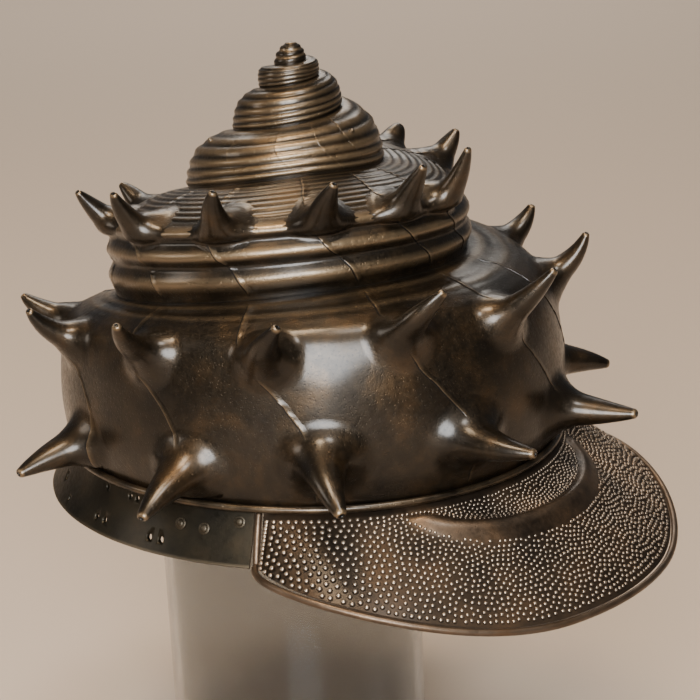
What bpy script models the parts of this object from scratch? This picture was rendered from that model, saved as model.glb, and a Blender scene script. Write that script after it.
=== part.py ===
"""A horned, shell-shaped iron helmet on a plain clear stand.

Metres, +Z up, the front faces -Y. The origin is the centre of the stand's foot, on the surface
that it stands on. Azimuths are in degrees: 0 is the front, positive towards +X, and the shell's
whorls run downwards as the azimuth falls, clockwise seen from above.
"""
import math
from collections import namedtuple

import bmesh
import bpy
from mathutils import Vector
from mathutils.bvhtree import BVHTree

# Bowl: its wall at the foot, its height above the rim plane, and the spire's axis
RIM_HALF_LENGTH = 0.1172
RIM_HALF_WIDTH = 0.1074
BOWL_HEIGHT = 0.1775
BOWL_WALL = 0.0020
INNER_LIFT = 0.4
SPIRE_OFFSET_X = 0.0020
SPIRE_OFFSET_Y = 0.0020
APEX_HEIGHT = 0.0064
APEX_RING_SHARE = 0.85
APEX_RING_LIFT = 0.55

# Whorls: turns are counted from the azimuth where the fourth whorl meets the fifth, right of the
# front as seen from ahead
FIRST_AZIMUTH = 40.0
FIRST_TURN = -3.25
HOLLOW_TURN = -1.5
LAST_TURN = 1.875
STEPS_PER_TURN = 40
SPIRE_RADIUS_RATIO = 1.85
SPIRE_HEIGHT_RATIO = 1.93

# Gap between pieces that touch
GAP = 0.0003

# Stand: a clear tube closed by a disc at its foot
STAND_RADIUS = 0.0620
STAND_WALL = 0.0040
STAND_FOOT = 0.0050
STAND_SIDES = 40
RIM_ABOVE_FLOOR = 0.1950
RIM_AHEAD_OF_STAND = 0.0174

# Bead round the foot of the bowl
BEAD_RADIUS = 0.0016
BEAD_POINTS = 48

# Waist band behind the visor
BAND_DEPTH = 0.0225
BAND_FLARE = 0.0110
BAND_FLARE_POWER = 1.4
BAND_WALL = 0.0016
BAND_COLUMNS = 26
BAND_ROWS = 3
LACING_HOLE_SIDES = 8

# Visor
VISOR_HALF_ANGLE = 62.8
VISOR_MID_REACH = 0.0585
VISOR_END_REACH = 0.0090
VISOR_MID_DROP = 0.0435
VISOR_END_DROP = 0.0230
VISOR_COLLAR = 0.0026
VISOR_WALL = 0.0016
VISOR_OUTLINE_POWER = 1.95
VISOR_DROOP_SHARE = 0.28
VISOR_LEVEL_SHARE = 0.20
VISOR_COLUMNS = 32
VISOR_ROWS = 9
EDGE_RADIUS = 0.0017
EDGE_EXTRA_COLUMNS = 8
EDGE_END_STEPS = 6

# Raised crescent on the visor, in front of the brow: it narrows to an end share of its height
# and width
CRESCENT_HALF_LENGTH = 0.0600
CRESCENT_REACH = 0.0220
CRESCENT_HEIGHT = 0.0052
CRESCENT_WIDTH = 0.0050
CRESCENT_END_SHARE = 0.35
CRESCENT_DISH = 0.0016

# Horns: length along the chord and radius of the flared root, for each row
HORN_SIDES = 8
SHOULDER_HORN_LENGTH = 0.0255
SHOULDER_HORN_ROOT = 0.0100
BODY_HORN_LENGTH = 0.0305
BODY_HORN_ROOT = 0.0110
RIM_HORN_LENGTH = 0.0350
RIM_HORN_ROOT = 0.0138

# Rivets, and the height and radius of their shoulder as shares
BAND_RIVET_RADIUS = 0.0026
BAND_RIVET_HEIGHT = 0.0011
SPIRE_STUD_RADIUS = 0.0013
SPIRE_STUD_HEIGHT = 0.0016
RIVET_SIDES = 8
RIVET_SHOULDER = (0.6, 0.8)

# Sutures of the wide whorls, radius as a share of the rim's half width and height as a share of
# the bowl's height; the first row leads in from the spire and the last leads out to the rim
SutureRow = namedtuple("SutureRow", "turn radius height")
SUTURE_ROWS = [
    SutureRow(-0.25, 0.307, 0.735),
    SutureRow(0.00, 0.358, 0.699),
    SutureRow(0.25, 0.414, 0.710),
    SutureRow(0.50, 0.471, 0.640),
    SutureRow(0.75, 0.577, 0.546),
    SutureRow(1.00, 0.696, 0.480),
    SutureRow(1.25, 0.768, 0.470),
    SutureRow(1.50, 0.807, 0.372),
    SutureRow(1.75, 0.860, 0.230),
]
SUTURE_STEP = 0.25

# Section of a whorl from its upper suture to its lower one: how far out and how far down each
# column lies, as shares of the step between the sutures, for the blunt nub at the tip, the spire,
# the fifth whorl, whose wall carries two cords below the shoulder, and the body whorl
SectionColumn = namedtuple(
    "SectionColumn",
    "nub_out nub_down spire_out spire_down fifth_out fifth_down body_out body_down")
SECTION_COLUMNS = [
    SectionColumn(0.00, 0.00, 0.000, 0.00, 0.000, 0.00, 0.000, 0.000),
    SectionColumn(0.60, 0.03, 0.320, 0.07, 0.340, 0.06, 0.450, 0.045),
    SectionColumn(0.86, 0.10, 0.580, 0.20, 0.680, 0.17, 0.760, 0.110),
    SectionColumn(0.99, 0.22, 0.770, 0.34, 0.960, 0.31, 0.930, 0.210),
    SectionColumn(1.04, 0.38, 0.880, 0.51, 0.985, 0.42, 1.040, 0.360),
    SectionColumn(1.06, 0.55, 0.940, 0.66, 1.045, 0.55, 1.095, 0.520),
    SectionColumn(1.05, 0.72, 0.980, 0.79, 1.020, 0.67, 1.110, 0.680),
    SectionColumn(1.03, 0.87, 0.995, 0.90, 1.060, 0.81, 1.085, 0.840),
    SectionColumn(1.00, 1.00, 1.000, 1.00, 1.000, 1.00, 1.000, 1.000),
]
COLUMNS = len(SECTION_COLUMNS) - 1
NUB_TO_SPIRE = (-2.40, -1.80)
SPIRE_TO_FIFTH = (-0.45, 0.15)
FIFTH_TO_BODY = (0.45, 1.00)

# Horns in order down the shell: the azimuth unwound along the whorls, the seat in section columns
# below the upper suture, then how far the tip reaches out, rises and leans to the side, as shares
# of the row's horn length
HornRow = namedtuple("HornRow", "azimuth seat reach rise sweep")
SHOULDER_HORNS = [
    HornRow(118, 3.0, 0.50, 0.60, 0.00),
    HornRow(90, 3.0, 0.46, 0.43, 0.00),
    HornRow(63, 3.0, 0.46, 0.60, 0.00),
    HornRow(6, 3.0, 0.57, 0.98, -0.06),
    HornRow(-15, 2.9, 0.62, 0.84, 0.06),
    HornRow(-42, 3.0, 0.60, 0.78, 0.18),
    HornRow(-72, 3.0, 0.56, 0.82, 0.18),
    HornRow(-103, 3.0, 0.58, 0.80, 0.12),
    HornRow(-132, 3.0, 0.60, 0.68, 0.10),
    HornRow(-171, 3.0, 0.60, 0.50, 0.00),
]
BODY_HORNS = [
    HornRow(-202, 3.0, 0.62, 0.66, 0.00),
    HornRow(-233, 3.0, 0.62, 0.66, 0.00),
    HornRow(-264, 3.0, 0.62, 0.66, 0.00),
    HornRow(-294, 3.0, 0.58, 0.58, 0.00),
    HornRow(-326, 3.0, 0.60, 0.70, 0.00),
    HornRow(-362, 2.8, 0.78, 0.76, 0.22),
    HornRow(-388, 2.6, 0.62, 0.72, 0.40),
    HornRow(-417, 3.0, 0.74, 0.66, 0.33),
    HornRow(-446, 2.9, 0.80, 0.64, 0.16),
    HornRow(-478, 3.0, 0.70, 0.58, 0.12),
    HornRow(-502, 3.0, 0.68, 0.44, -0.05),
    HornRow(-545, 3.0, 0.66, 0.50, 0.00),
]
RIM_HORNS = [
    HornRow(-286, 6.8, 0.90, -0.04, 0.00),
    HornRow(-310, 6.7, 0.92, -0.16, 0.00),
    HornRow(-345, 6.6, 1.08, 0.00, 0.02),
    HornRow(-376, 6.2, 1.00, 0.00, 0.24),
    HornRow(-406, 6.3, 1.02, -0.34, 0.14),
    HornRow(-436, 6.8, 1.00, -0.30, -0.08),
    HornRow(-472, 7.0, 0.98, -0.20, 0.12),
    HornRow(-532, 6.8, 0.96, -0.14, 0.00),
    HornRow(-564, 6.4, 0.92, -0.10, 0.00),
]

# Rings of a horn from its root to its tip: the place along it and the radius, as shares
HornRing = namedtuple("HornRing", "along radius")
HORN_RINGS = [
    HornRing(0.14, 0.79),
    HornRing(0.38, 0.58),
    HornRing(0.66, 0.38),
    HornRing(0.93, 0.19),
]
HORN_ROOT_RINGS = (0.5, 1.0)
HORN_BULGE = 0.52
HORN_ROOT_LIMIT = 0.94
HORN_BREADTH = 1.12
HORN_THICKNESS = 0.90

# Lacing holes and rivets of the waist band on the wearer's right, which the left side mirrors:
# azimuth, depth as a share of the band's, and a hole's radius
LacingHole = namedtuple("LacingHole", "azimuth depth radius")
LACING_HOLES = [
    LacingHole(-125, 0.56, 0.0022),
    LacingHole(-118, 0.80, 0.0012),
    LacingHole(-104, 0.76, 0.0014),
    LacingHole(-103.5, 0.20, 0.0012),
    LacingHole(-101, 0.76, 0.0014),
    LacingHole(-95.3, 0.20, 0.0012),
    LacingHole(-93, 0.20, 0.0012),
    LacingHole(-87, 0.77, 0.0014),
    LacingHole(-84, 0.77, 0.0014),
]
BandRivet = namedtuple("BandRivet", "azimuth depth")
BAND_RIVETS = [BandRivet(-80.2, 0.43), BandRivet(-74.5, 0.45), BandRivet(-66.8, 0.27)]
SpireStud = namedtuple("SpireStud", "turn down")
SPIRE_STUDS = [SpireStud(-0.54, 0.22), SpireStud(-0.87, 0.34)]

IRON = (0.075, 0.055, 0.040)
BAND_IRON = (0.062, 0.052, 0.038)
VISOR_IRON = (0.110, 0.080, 0.058)
CLEAR = (0.86, 0.90, 0.90)


def clear_scene():
    for old in list(bpy.data.objects):
        bpy.data.objects.remove(old, do_unlink=True)


def material(name, colour, metallic, roughness, transmission=0.0):
    made = bpy.data.materials.new(name)
    made.use_nodes = True
    shader = made.node_tree.nodes["Principled BSDF"]
    shader.inputs["Base Color"].default_value = (*colour, 1.0)
    shader.inputs["Metallic"].default_value = metallic
    shader.inputs["Roughness"].default_value = roughness
    shader.inputs["Transmission Weight"].default_value = transmission
    return made


def new_object(name, points, faces, finish, sharp_angle=40.0):
    """A mesh object from points and faces, with its faces turned outwards."""
    mesh = bpy.data.meshes.new(name)
    mesh.from_pydata([tuple(p) for p in points], [], faces)
    build = bmesh.new()
    build.from_mesh(mesh)
    bmesh.ops.recalc_face_normals(build, faces=build.faces)
    if build.calc_volume(signed=True) < 0.0:
        bmesh.ops.reverse_faces(build, faces=build.faces)
    build.to_mesh(mesh)
    build.free()
    mesh.shade_smooth()
    mesh.set_sharp_from_angle(angle=math.radians(sharp_angle))
    mesh.materials.append(finish)
    made = bpy.data.objects.new(name, mesh)
    bpy.context.scene.collection.objects.link(made)
    return made


def ease(x, low, high):
    """0 below low, 1 above high and a smooth step between them."""
    share = min(max((x - low) / (high - low), 0.0), 1.0)
    return share * share * (3.0 - 2.0 * share)


def through(values, place):
    """Smooth curve through evenly spaced values, at a place counted in steps."""
    last = len(values) - 1
    start = min(max(int(math.floor(place)), 0), last - 1)
    t = place - start
    a = values[max(start - 1, 0)]
    b = values[start]
    c = values[start + 1]
    d = values[min(start + 2, last)]
    return b + 0.5 * t * (c - a + t * (2 * a - 5 * b + 4 * c - d + t * (3 * (b - c) + d - a)))


def outward(azimuth):
    angle = math.radians(azimuth)
    return Vector((math.sin(angle), -math.cos(angle), 0.0))


def sideways(azimuth):
    angle = math.radians(azimuth)
    return Vector((math.cos(angle), math.sin(angle), 0.0))


def rim_centre():
    return Vector((0.0, -RIM_AHEAD_OF_STAND, RIM_ABOVE_FLOOR))


def rim_point(azimuth, beyond=0.0):
    """A point of the bowl's wall at the rim plane, moved outwards by beyond."""
    direction = outward(azimuth)
    foot = Vector((direction.x * RIM_HALF_WIDTH, direction.y * RIM_HALF_LENGTH, 0.0))
    normal = Vector((foot.x / RIM_HALF_WIDTH ** 2, foot.y / RIM_HALF_LENGTH ** 2, 0.0)).normalized()
    return rim_centre() + foot + normal * beyond


def rim_radius(azimuth):
    """Distance from the spire's axis to the rim along an azimuth."""
    direction = outward(azimuth)
    a = (direction.x / RIM_HALF_WIDTH) ** 2 + (direction.y / RIM_HALF_LENGTH) ** 2
    b = SPIRE_OFFSET_X * direction.x / RIM_HALF_WIDTH ** 2
    b += SPIRE_OFFSET_Y * direction.y / RIM_HALF_LENGTH ** 2
    c = (SPIRE_OFFSET_X / RIM_HALF_WIDTH) ** 2 + (SPIRE_OFFSET_Y / RIM_HALF_LENGTH) ** 2 - 1.0
    return (math.sqrt(b * b - a * c) - b) / a


def turn_azimuth(turn):
    return FIRST_AZIMUTH - 360.0 * turn


def turn_at(unwound_azimuth):
    return (FIRST_AZIMUTH - unwound_azimuth) / 360.0


def suture(turn):
    """Radius and height of the suture: a tapering spire, the wide whorls, then a dive to the rim."""
    first = SUTURE_ROWS[1]
    if turn < first.turn:
        radius = first.radius * RIM_HALF_WIDTH * SPIRE_RADIUS_RATIO ** turn
        height = BOWL_HEIGHT * (1.0 - (1.0 - first.height) * SPIRE_HEIGHT_RATIO ** turn)
        return radius, height
    dive_start = SUTURE_ROWS[-2].turn
    place = (min(turn, dive_start) - SUTURE_ROWS[0].turn) / SUTURE_STEP
    radius = RIM_HALF_WIDTH * through([row.radius for row in SUTURE_ROWS], place)
    height = BOWL_HEIGHT * through([row.height for row in SUTURE_ROWS], place)
    if turn > dive_start:
        share = min((turn - dive_start) / (LAST_TURN - dive_start), 1.0)
        dive = 0.5 * share + 0.5 * share * share
        radius += (rim_radius(turn_azimuth(turn)) - radius) * dive
        height *= 1.0 - dive
    return radius, height


def shell_point(turn, down):
    """The bowl's outer surface: down runs from 0 at the upper suture to 1 at the lower one."""
    azimuth = turn_azimuth(turn)
    top_radius, top_height = suture(turn)
    if turn + 1.0 < LAST_TURN:
        low_radius, low_height = suture(turn + 1.0)
    else:
        low_radius, low_height = rim_radius(azimuth), 0.0
    place = down * COLUMNS
    to_spire = ease(turn, *NUB_TO_SPIRE)
    to_fifth = ease(turn, *SPIRE_TO_FIFTH)
    to_body = ease(turn, *FIFTH_TO_BODY)
    shares = []
    for kind in ("out", "down"):
        nub = through([getattr(column, "nub_" + kind) for column in SECTION_COLUMNS], place)
        spire = through([getattr(column, "spire_" + kind) for column in SECTION_COLUMNS], place)
        fifth = through([getattr(column, "fifth_" + kind) for column in SECTION_COLUMNS], place)
        body = through([getattr(column, "body_" + kind) for column in SECTION_COLUMNS], place)
        high = nub + (spire - nub) * to_spire
        wide = fifth + (body - fifth) * to_body
        shares.append(high + (wide - high) * to_fifth)
    radius = top_radius + shares[0] * (low_radius - top_radius)
    height = top_height + shares[1] * (low_height - top_height)
    axis = rim_centre() + Vector((SPIRE_OFFSET_X, SPIRE_OFFSET_Y, 0.0))
    return axis + outward(azimuth) * radius + Vector((0.0, 0.0, height))


def shell_directions(turn, down):
    """Directions along the whorl and down it, their lengths, and the outward normal."""
    step = 0.5 / STEPS_PER_TURN
    along = (shell_point(turn + step, down) - shell_point(turn - step, down)) / (2 * step)
    low = max(down - step, 0.0)
    high = min(down + step, 1.0)
    across = (shell_point(turn, high) - shell_point(turn, low)) / (high - low)
    normal = along.cross(across).normalized()
    return along, across, normal


def shell_rows():
    """Row and column numbers of the outer grid, with one number for each shared point."""
    first = round(FIRST_TURN * STEPS_PER_TURN)
    last = round(LAST_TURN * STEPS_PER_TURN)
    points = []
    number = {}
    for row in range(first, last + 1):
        for column in range(COLUMNS):
            if row == last and column > 0:
                number[row, column] = number[row, 0]
                continue
            number[row, column] = len(points)
            points.append(shell_point(row / STEPS_PER_TURN, column / COLUMNS))
    for row in range(first, last + 1):
        if row + STEPS_PER_TURN <= last:
            number[row, COLUMNS] = number[row + STEPS_PER_TURN, 0]
        elif row == last:
            number[row, COLUMNS] = number[row, 0]
        else:
            number[row, COLUMNS] = len(points)
            points.append(shell_point(row / STEPS_PER_TURN, 1.0))
    return first, last, points, number


def ribbon_faces(first, last, number, column_step):
    faces = []
    for row in range(first, last):
        for column in range(0, COLUMNS, column_step):
            corners = [
                number[row, column],
                number[row, column + column_step],
                number[row + 1, column + column_step],
                number[row + 1, column],
            ]
            corners = [c for k, c in enumerate(corners) if c != corners[k - 1]]
            if len(corners) > 2:
                faces.append(corners)
    return faces


def top_loop(first, number, column_step):
    """The open edge at the start of a ribbon: one turn of suture, then the section's own line."""
    loop = [number[row, 0] for row in range(first, first + STEPS_PER_TURN + 1)]
    loop += [number[first, column] for column in range(COLUMNS - column_step, 0, -column_step)]
    return loop


def make_bowl(finish):
    first, last, points, number = shell_rows()
    faces = ribbon_faces(first, last, number, 1)
    outer = bpy.data.meshes.new("outer skin")
    outer.from_pydata([tuple(p) for p in points], [], faces)
    skin = bmesh.new()
    skin.from_mesh(outer)
    bmesh.ops.recalc_face_normals(skin, faces=skin.faces)
    skin.normal_update()
    skin.verts.ensure_lookup_table()
    normals = [vert.normal.copy() for vert in skin.verts]
    skin.free()
    bpy.data.meshes.remove(outer)
    axis = rim_centre() + Vector((SPIRE_OFFSET_X, SPIRE_OFFSET_Y, 0.0))
    if normals[number[0, 4]].dot(points[number[0, 4]] - axis) < 0.0:
        normals = [-normal for normal in normals]

    # the nub at the tip: a narrower, higher ring over the first turn, closed by one point
    tip = axis + Vector((0.0, 0.0, suture(FIRST_TURN)[1] + APEX_HEIGHT))
    loop = top_loop(first, number, 1)
    ring = len(points)
    for k in loop:
        narrow = points[k].lerp(axis, 1.0 - APEX_RING_SHARE)
        points.append(Vector((narrow.x, narrow.y, points[k].z + APEX_RING_LIFT * (tip.z - points[k].z))))
    apex = len(points)
    points.append(tip)
    for k in range(len(loop)):
        n = (k + 1) % len(loop)
        faces.append([loop[k], loop[n], ring + n, ring + k])
        faces.append([ring + k, ring + n, apex])

    # the inner skin starts lower than the apex and has every second column
    hollow = round(HOLLOW_TURN * STEPS_PER_TURN)
    inner = {}
    inner_number = {}
    for row in range(hollow, last + 1):
        for column in range(0, COLUMNS + 1, 2):
            out = number[row, column]
            if out not in inner:
                inner[out] = len(points)
                points.append(inner_point(points[out], normals[out]))
            inner_number[row, column] = inner[out]
    faces += [face[::-1] for face in ribbon_faces(hollow, last, inner_number, 2)]
    crown = len(points)
    crown_height = suture(HOLLOW_TURN)[1] - BOWL_WALL
    points.append(axis + Vector((0.0, 0.0, crown_height)))
    loop = top_loop(hollow, inner_number, 2)
    faces += [[crown, loop[k], loop[k - 1]] for k in range(len(loop))]

    # the foot's flat ring between the two skins
    outer_rim = [number[row, COLUMNS] for row in range(last - STEPS_PER_TURN, last)]
    for k in range(STEPS_PER_TURN):
        a, b = outer_rim[k - 1], outer_rim[k]
        faces.append([a, b, inner[b], inner[a]])
    return new_object("bowl", points, faces, finish)


def inner_point(point, normal):
    """The point one wall in from an outer one; at the rim it stays in the rim plane."""
    height = point.z - RIM_ABOVE_FLOOR
    if height < 1e-6:
        flat = Vector((normal.x, normal.y, 0.0)).normalized()
        return point - flat * BOWL_WALL
    moved = point - normal * BOWL_WALL
    moved.z = max(moved.z, RIM_ABOVE_FLOOR + INNER_LIFT * height)
    return moved


def make_horn(name, row, length, root, finish):
    """A flared horn whose root follows the shell and whose tip is rounded."""
    turn = turn_at(row.azimuth)
    down = row.seat / COLUMNS
    along, across, normal = shell_directions(turn, down)
    start = shell_point(turn, down)
    tip = start + outward(row.azimuth) * (row.reach * length)
    tip += Vector((0.0, 0.0, row.rise * length)) + sideways(row.azimuth) * (row.sweep * length)
    bend = start + normal * (HORN_BULGE * length)
    angles = [2 * math.pi * k / HORN_SIDES for k in range(HORN_SIDES)]

    points = [start + normal * GAP]
    faces = []
    for share in HORN_ROOT_RINGS:
        for angle in angles:
            beside = turn + share * root * math.cos(angle) / along.length
            below = down + share * root * math.sin(angle) / across.length
            below = min(below, HORN_ROOT_LIMIT)
            foot_normal = shell_directions(beside, below)[2]
            points.append(shell_point(beside, below) + foot_normal * GAP)
    over_bead = RIM_ABOVE_FLOOR + BEAD_RADIUS + 2 * GAP
    for ring in HORN_RINGS:
        s = ring.along
        centre = start * (1 - s) ** 2 + bend * (2 * s * (1 - s)) + tip * s ** 2
        heading = ((bend - start) * (1 - s) + (tip - bend) * s).normalized()
        first = (along - heading * along.dot(heading)).normalized()
        second = across - heading * across.dot(heading)
        second = (second - first * second.dot(first)).normalized()
        for angle in angles:
            spoke = first * (HORN_BREADTH * math.cos(angle))
            spoke += second * (HORN_THICKNESS * math.sin(angle))
            point = centre + spoke * (ring.radius * root)
            if ring is HORN_RINGS[0]:
                point.z = max(point.z, over_bead)
            points.append(point)
    points.append(tip)

    count = HORN_SIDES
    for k in range(count):
        n = (k + 1) % count
        faces.append([0, 1 + k, 1 + n])
        for ring in range(len(HORN_RINGS) + 1):
            low = 1 + ring * count
            high = low + count
            faces.append([low + k, high + k, high + n, low + n])
        top = 1 + (len(HORN_RINGS) + 1) * count
        faces.append([top + k, len(points) - 1, top + n])
    return new_object(name, points, faces, finish, 60.0)


def make_horns(finish):
    rows = (
        ("horn_shoulder", SHOULDER_HORNS, SHOULDER_HORN_LENGTH, SHOULDER_HORN_ROOT),
        ("horn_body", BODY_HORNS, BODY_HORN_LENGTH, BODY_HORN_ROOT),
        ("horn_rim", RIM_HORNS, RIM_HORN_LENGTH, RIM_HORN_ROOT),
    )
    for name, horns, length, root in rows:
        for k, row in enumerate(horns):
            make_horn(f"{name}_{k + 1:02d}", row, length, root, finish)


def make_rod(name, path, radius, closed, finish):
    """A round rod along a path, as a bevelled curve."""
    curve = bpy.data.curves.new(name, "CURVE")
    curve.dimensions = "3D"
    curve.bevel_depth = radius
    curve.bevel_resolution = 1
    curve.use_fill_caps = not closed
    line = curve.splines.new("POLY")
    line.points.add(len(path) - 1)
    for point, place in zip(line.points, path):
        point.co = (*place, 1.0)
    line.use_cyclic_u = closed
    curve.materials.append(finish)
    made = bpy.data.objects.new(name, curve)
    bpy.context.scene.collection.objects.link(made)
    return made


def make_bead(finish):
    beyond = GAP + BEAD_RADIUS
    path = [rim_point(360.0 * k / BEAD_POINTS, beyond) for k in range(BEAD_POINTS)]
    return make_rod("rim_bead", path, BEAD_RADIUS, True, finish)


def make_plate(name, grid, thickness, finish):
    """A closed plate from a grid of points on its outer face and its thickness."""
    rows = len(grid)
    columns = len(grid[0])
    outer = []
    inner = []
    for i in range(rows):
        for j in range(columns):
            along = grid[min(i + 1, rows - 1)][j] - grid[max(i - 1, 0)][j]
            across = grid[i][min(j + 1, columns - 1)] - grid[i][max(j - 1, 0)]
            normal = along.cross(across).normalized()
            outer.append(grid[i][j])
            inner.append(grid[i][j] - normal * thickness)
    count = len(outer)
    faces = []
    for i in range(rows - 1):
        for j in range(columns - 1):
            a = i * columns + j
            quad = [a, a + 1, a + columns + 1, a + columns]
            faces.append(quad)
            faces.append([k + count for k in reversed(quad)])
    border = [j for j in range(columns)]
    border += [i * columns + columns - 1 for i in range(1, rows)]
    border += [(rows - 1) * columns + j for j in range(columns - 2, -1, -1)]
    border += [i * columns for i in range(rows - 2, 0, -1)]
    for k in range(len(border)):
        a, b = border[k - 1], border[k]
        faces.append([b, a, a + count, b + count])
    return new_object(name, outer + inner, faces, finish)


def end_clearance():
    """Degrees between the visor's edge line and what stops short of it."""
    mean_radius = (RIM_HALF_LENGTH + RIM_HALF_WIDTH) / 2
    return math.degrees((EDGE_RADIUS + GAP) / mean_radius)


def band_point(azimuth, depth):
    foot = rim_point(azimuth, BAND_FLARE * depth ** BAND_FLARE_POWER)
    return foot - Vector((0.0, 0.0, GAP + BAND_DEPTH * depth))


def make_band(finish):
    start = VISOR_HALF_ANGLE + end_clearance()
    span = 360.0 - 2 * start
    grid = []
    for i in range(BAND_COLUMNS + 1):
        azimuth = start + span * i / BAND_COLUMNS
        grid.append([band_point(azimuth, j / BAND_ROWS) for j in range(BAND_ROWS, -1, -1)])
    band = make_plate("waist_band", grid, BAND_WALL, finish)
    cut = band.modifiers.new("lacing holes", "BOOLEAN")
    cut.operation = "DIFFERENCE"
    cut.solver = "EXACT"
    cut.object = make_hole_cutter()
    return band


def make_hole_cutter():
    """One hidden object with a short round bar through each lacing hole, on both sides."""
    points = []
    faces = []
    for hole in LACING_HOLES:
        for azimuth in (hole.azimuth, -hole.azimuth):
            centre = band_point(azimuth, hole.depth)
            axis = outward(azimuth)
            side = sideways(azimuth)
            first = len(points)
            for reach in (-2 * BAND_WALL, 2 * BAND_WALL):
                for k in range(LACING_HOLE_SIDES):
                    angle = 2 * math.pi * (k + 0.5) / LACING_HOLE_SIDES
                    spoke = side * math.cos(angle) + Vector((0.0, 0.0, math.sin(angle)))
                    points.append(centre + axis * reach + spoke * hole.radius)
            ring = list(range(first, first + LACING_HOLE_SIDES))
            far = [k + LACING_HOLE_SIDES for k in ring]
            faces.append(ring[::-1])
            faces.append(far)
            for k in range(LACING_HOLE_SIDES):
                faces.append([ring[k - 1], ring[k], far[k], far[k - 1]])
    cutter = new_object("hole cutter", points, faces, None)
    cutter.hide_render = True
    cutter.display_type = "WIRE"
    return cutter


def crescent_relief(arc, reach):
    """Height of the raised crescent, and of the dish inside it, over the visor's slope."""
    ring = math.hypot(arc / CRESCENT_HALF_LENGTH, reach / CRESCENT_REACH)
    end = min(abs(arc) / CRESCENT_HALF_LENGTH, 1.0)
    taper = 1.0 - (1.0 - CRESCENT_END_SHARE) * end * end
    away = (ring - 1.0) * CRESCENT_REACH / (CRESCENT_WIDTH * taper)
    rise = CRESCENT_HEIGHT * taper * math.exp(-away * away)
    dish = CRESCENT_DISH * max(0.0, 1.0 - ring * ring)
    bead = 2 * BEAD_RADIUS + GAP
    return (rise - dish) * ease(reach, bead, bead + CRESCENT_WIDTH)


def visor_point(side, share, inset=0.0):
    """side runs from -1 to 1 across the visor, share from 0 at the collar to 1 at the edge."""
    mean_radius = (RIM_HALF_LENGTH + RIM_HALF_WIDTH) / 2
    azimuth = side * (VISOR_HALF_ANGLE - math.degrees(inset / mean_radius))
    power = VISOR_OUTLINE_POWER
    fan = max(1.0 - abs(side) ** power, 0.0) ** (1.0 / power)
    reach = VISOR_END_REACH + (VISOR_MID_REACH - VISOR_END_REACH) * fan
    middle = 1.0 - ease(abs(side), VISOR_LEVEL_SHARE, 1.0)
    drop = VISOR_END_DROP + (VISOR_MID_DROP - VISOR_END_DROP) * middle
    slope = math.hypot(reach, drop)
    reach *= (slope - inset) / slope
    drop *= (slope - inset) / slope
    fall = share * (1.0 - VISOR_DROOP_SHARE + VISOR_DROOP_SHARE * share)
    relief = crescent_relief(math.radians(azimuth) * mean_radius, reach * share)
    height = -VISOR_COLLAR - (drop - VISOR_COLLAR) * fall + relief
    return rim_point(azimuth) + outward(azimuth) * (reach * share) + Vector((0.0, 0.0, height))


def make_visor(finish):
    inset = EDGE_RADIUS + GAP
    grid = []
    for i in range(VISOR_COLUMNS + 1):
        side = math.sin(math.pi / 2 * (2 * i / VISOR_COLUMNS - 1))
        line = [visor_point(side, j / VISOR_ROWS, inset) for j in range(VISOR_ROWS, -1, -1)]
        line.append(line[-1] + Vector((0.0, 0.0, VISOR_COLLAR - GAP)))
        grid.append(line)
    return make_plate("visor", grid, VISOR_WALL, finish)


def make_visor_edge(finish):
    """The rolled edge: down one end of the visor, round its outline and up the other end."""
    ends = [k / EDGE_END_STEPS for k in range(EDGE_END_STEPS)]
    path = [visor_point(-1.0, share) for share in ends]
    columns = VISOR_COLUMNS + EDGE_EXTRA_COLUMNS
    for k in range(columns + 1):
        side = math.sin(math.pi / 2 * (2 * k / columns - 1))
        path.append(visor_point(side, 1.0))
    path += [visor_point(1.0, share) for share in reversed(ends)]
    return make_rod("visor_edge", path, EDGE_RADIUS, False, finish)


def make_rivet(name, seat, normal, radius, height, finish):
    """A low domed head, closed underneath."""
    first = normal.orthogonal().normalized()
    second = normal.cross(first)
    base = seat + normal * GAP
    points = [base]
    for lift, spread in ((0.0, 1.0), RIVET_SHOULDER):
        for k in range(RIVET_SIDES):
            angle = 2 * math.pi * k / RIVET_SIDES
            spoke = first * math.cos(angle) + second * math.sin(angle)
            points.append(base + spoke * (radius * spread) + normal * (height * lift))
    points.append(base + normal * height)
    faces = []
    for k in range(RIVET_SIDES):
        n = (k + 1) % RIVET_SIDES
        faces.append([0, 1 + n, 1 + k])
        faces.append([1 + k, 1 + n, 1 + RIVET_SIDES + n, 1 + RIVET_SIDES + k])
        faces.append([1 + RIVET_SIDES + k, 1 + RIVET_SIDES + n, len(points) - 1])
    return new_object(name, points, faces, finish, 60.0)


def make_rivets(band_finish, spire_finish):
    count = 0
    for rivet in BAND_RIVETS:
        for azimuth in (rivet.azimuth, -rivet.azimuth):
            count += 1
            seat = band_point(azimuth, rivet.depth)
            below = band_point(azimuth, rivet.depth + 0.1)
            normal = (below - seat).cross(sideways(azimuth)).normalized()
            if normal.dot(outward(azimuth)) < 0.0:
                normal = -normal
            name = f"band_rivet_{count}"
            make_rivet(name, seat, normal, BAND_RIVET_RADIUS, BAND_RIVET_HEIGHT, band_finish)
    for k, stud in enumerate(SPIRE_STUDS):
        normal = shell_directions(stud.turn, stud.down)[2]
        seat = shell_point(stud.turn, stud.down)
        name = f"spire_stud_{k + 1}"
        make_rivet(name, seat, normal, SPIRE_STUD_RADIUS, SPIRE_STUD_HEIGHT, spire_finish)


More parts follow.
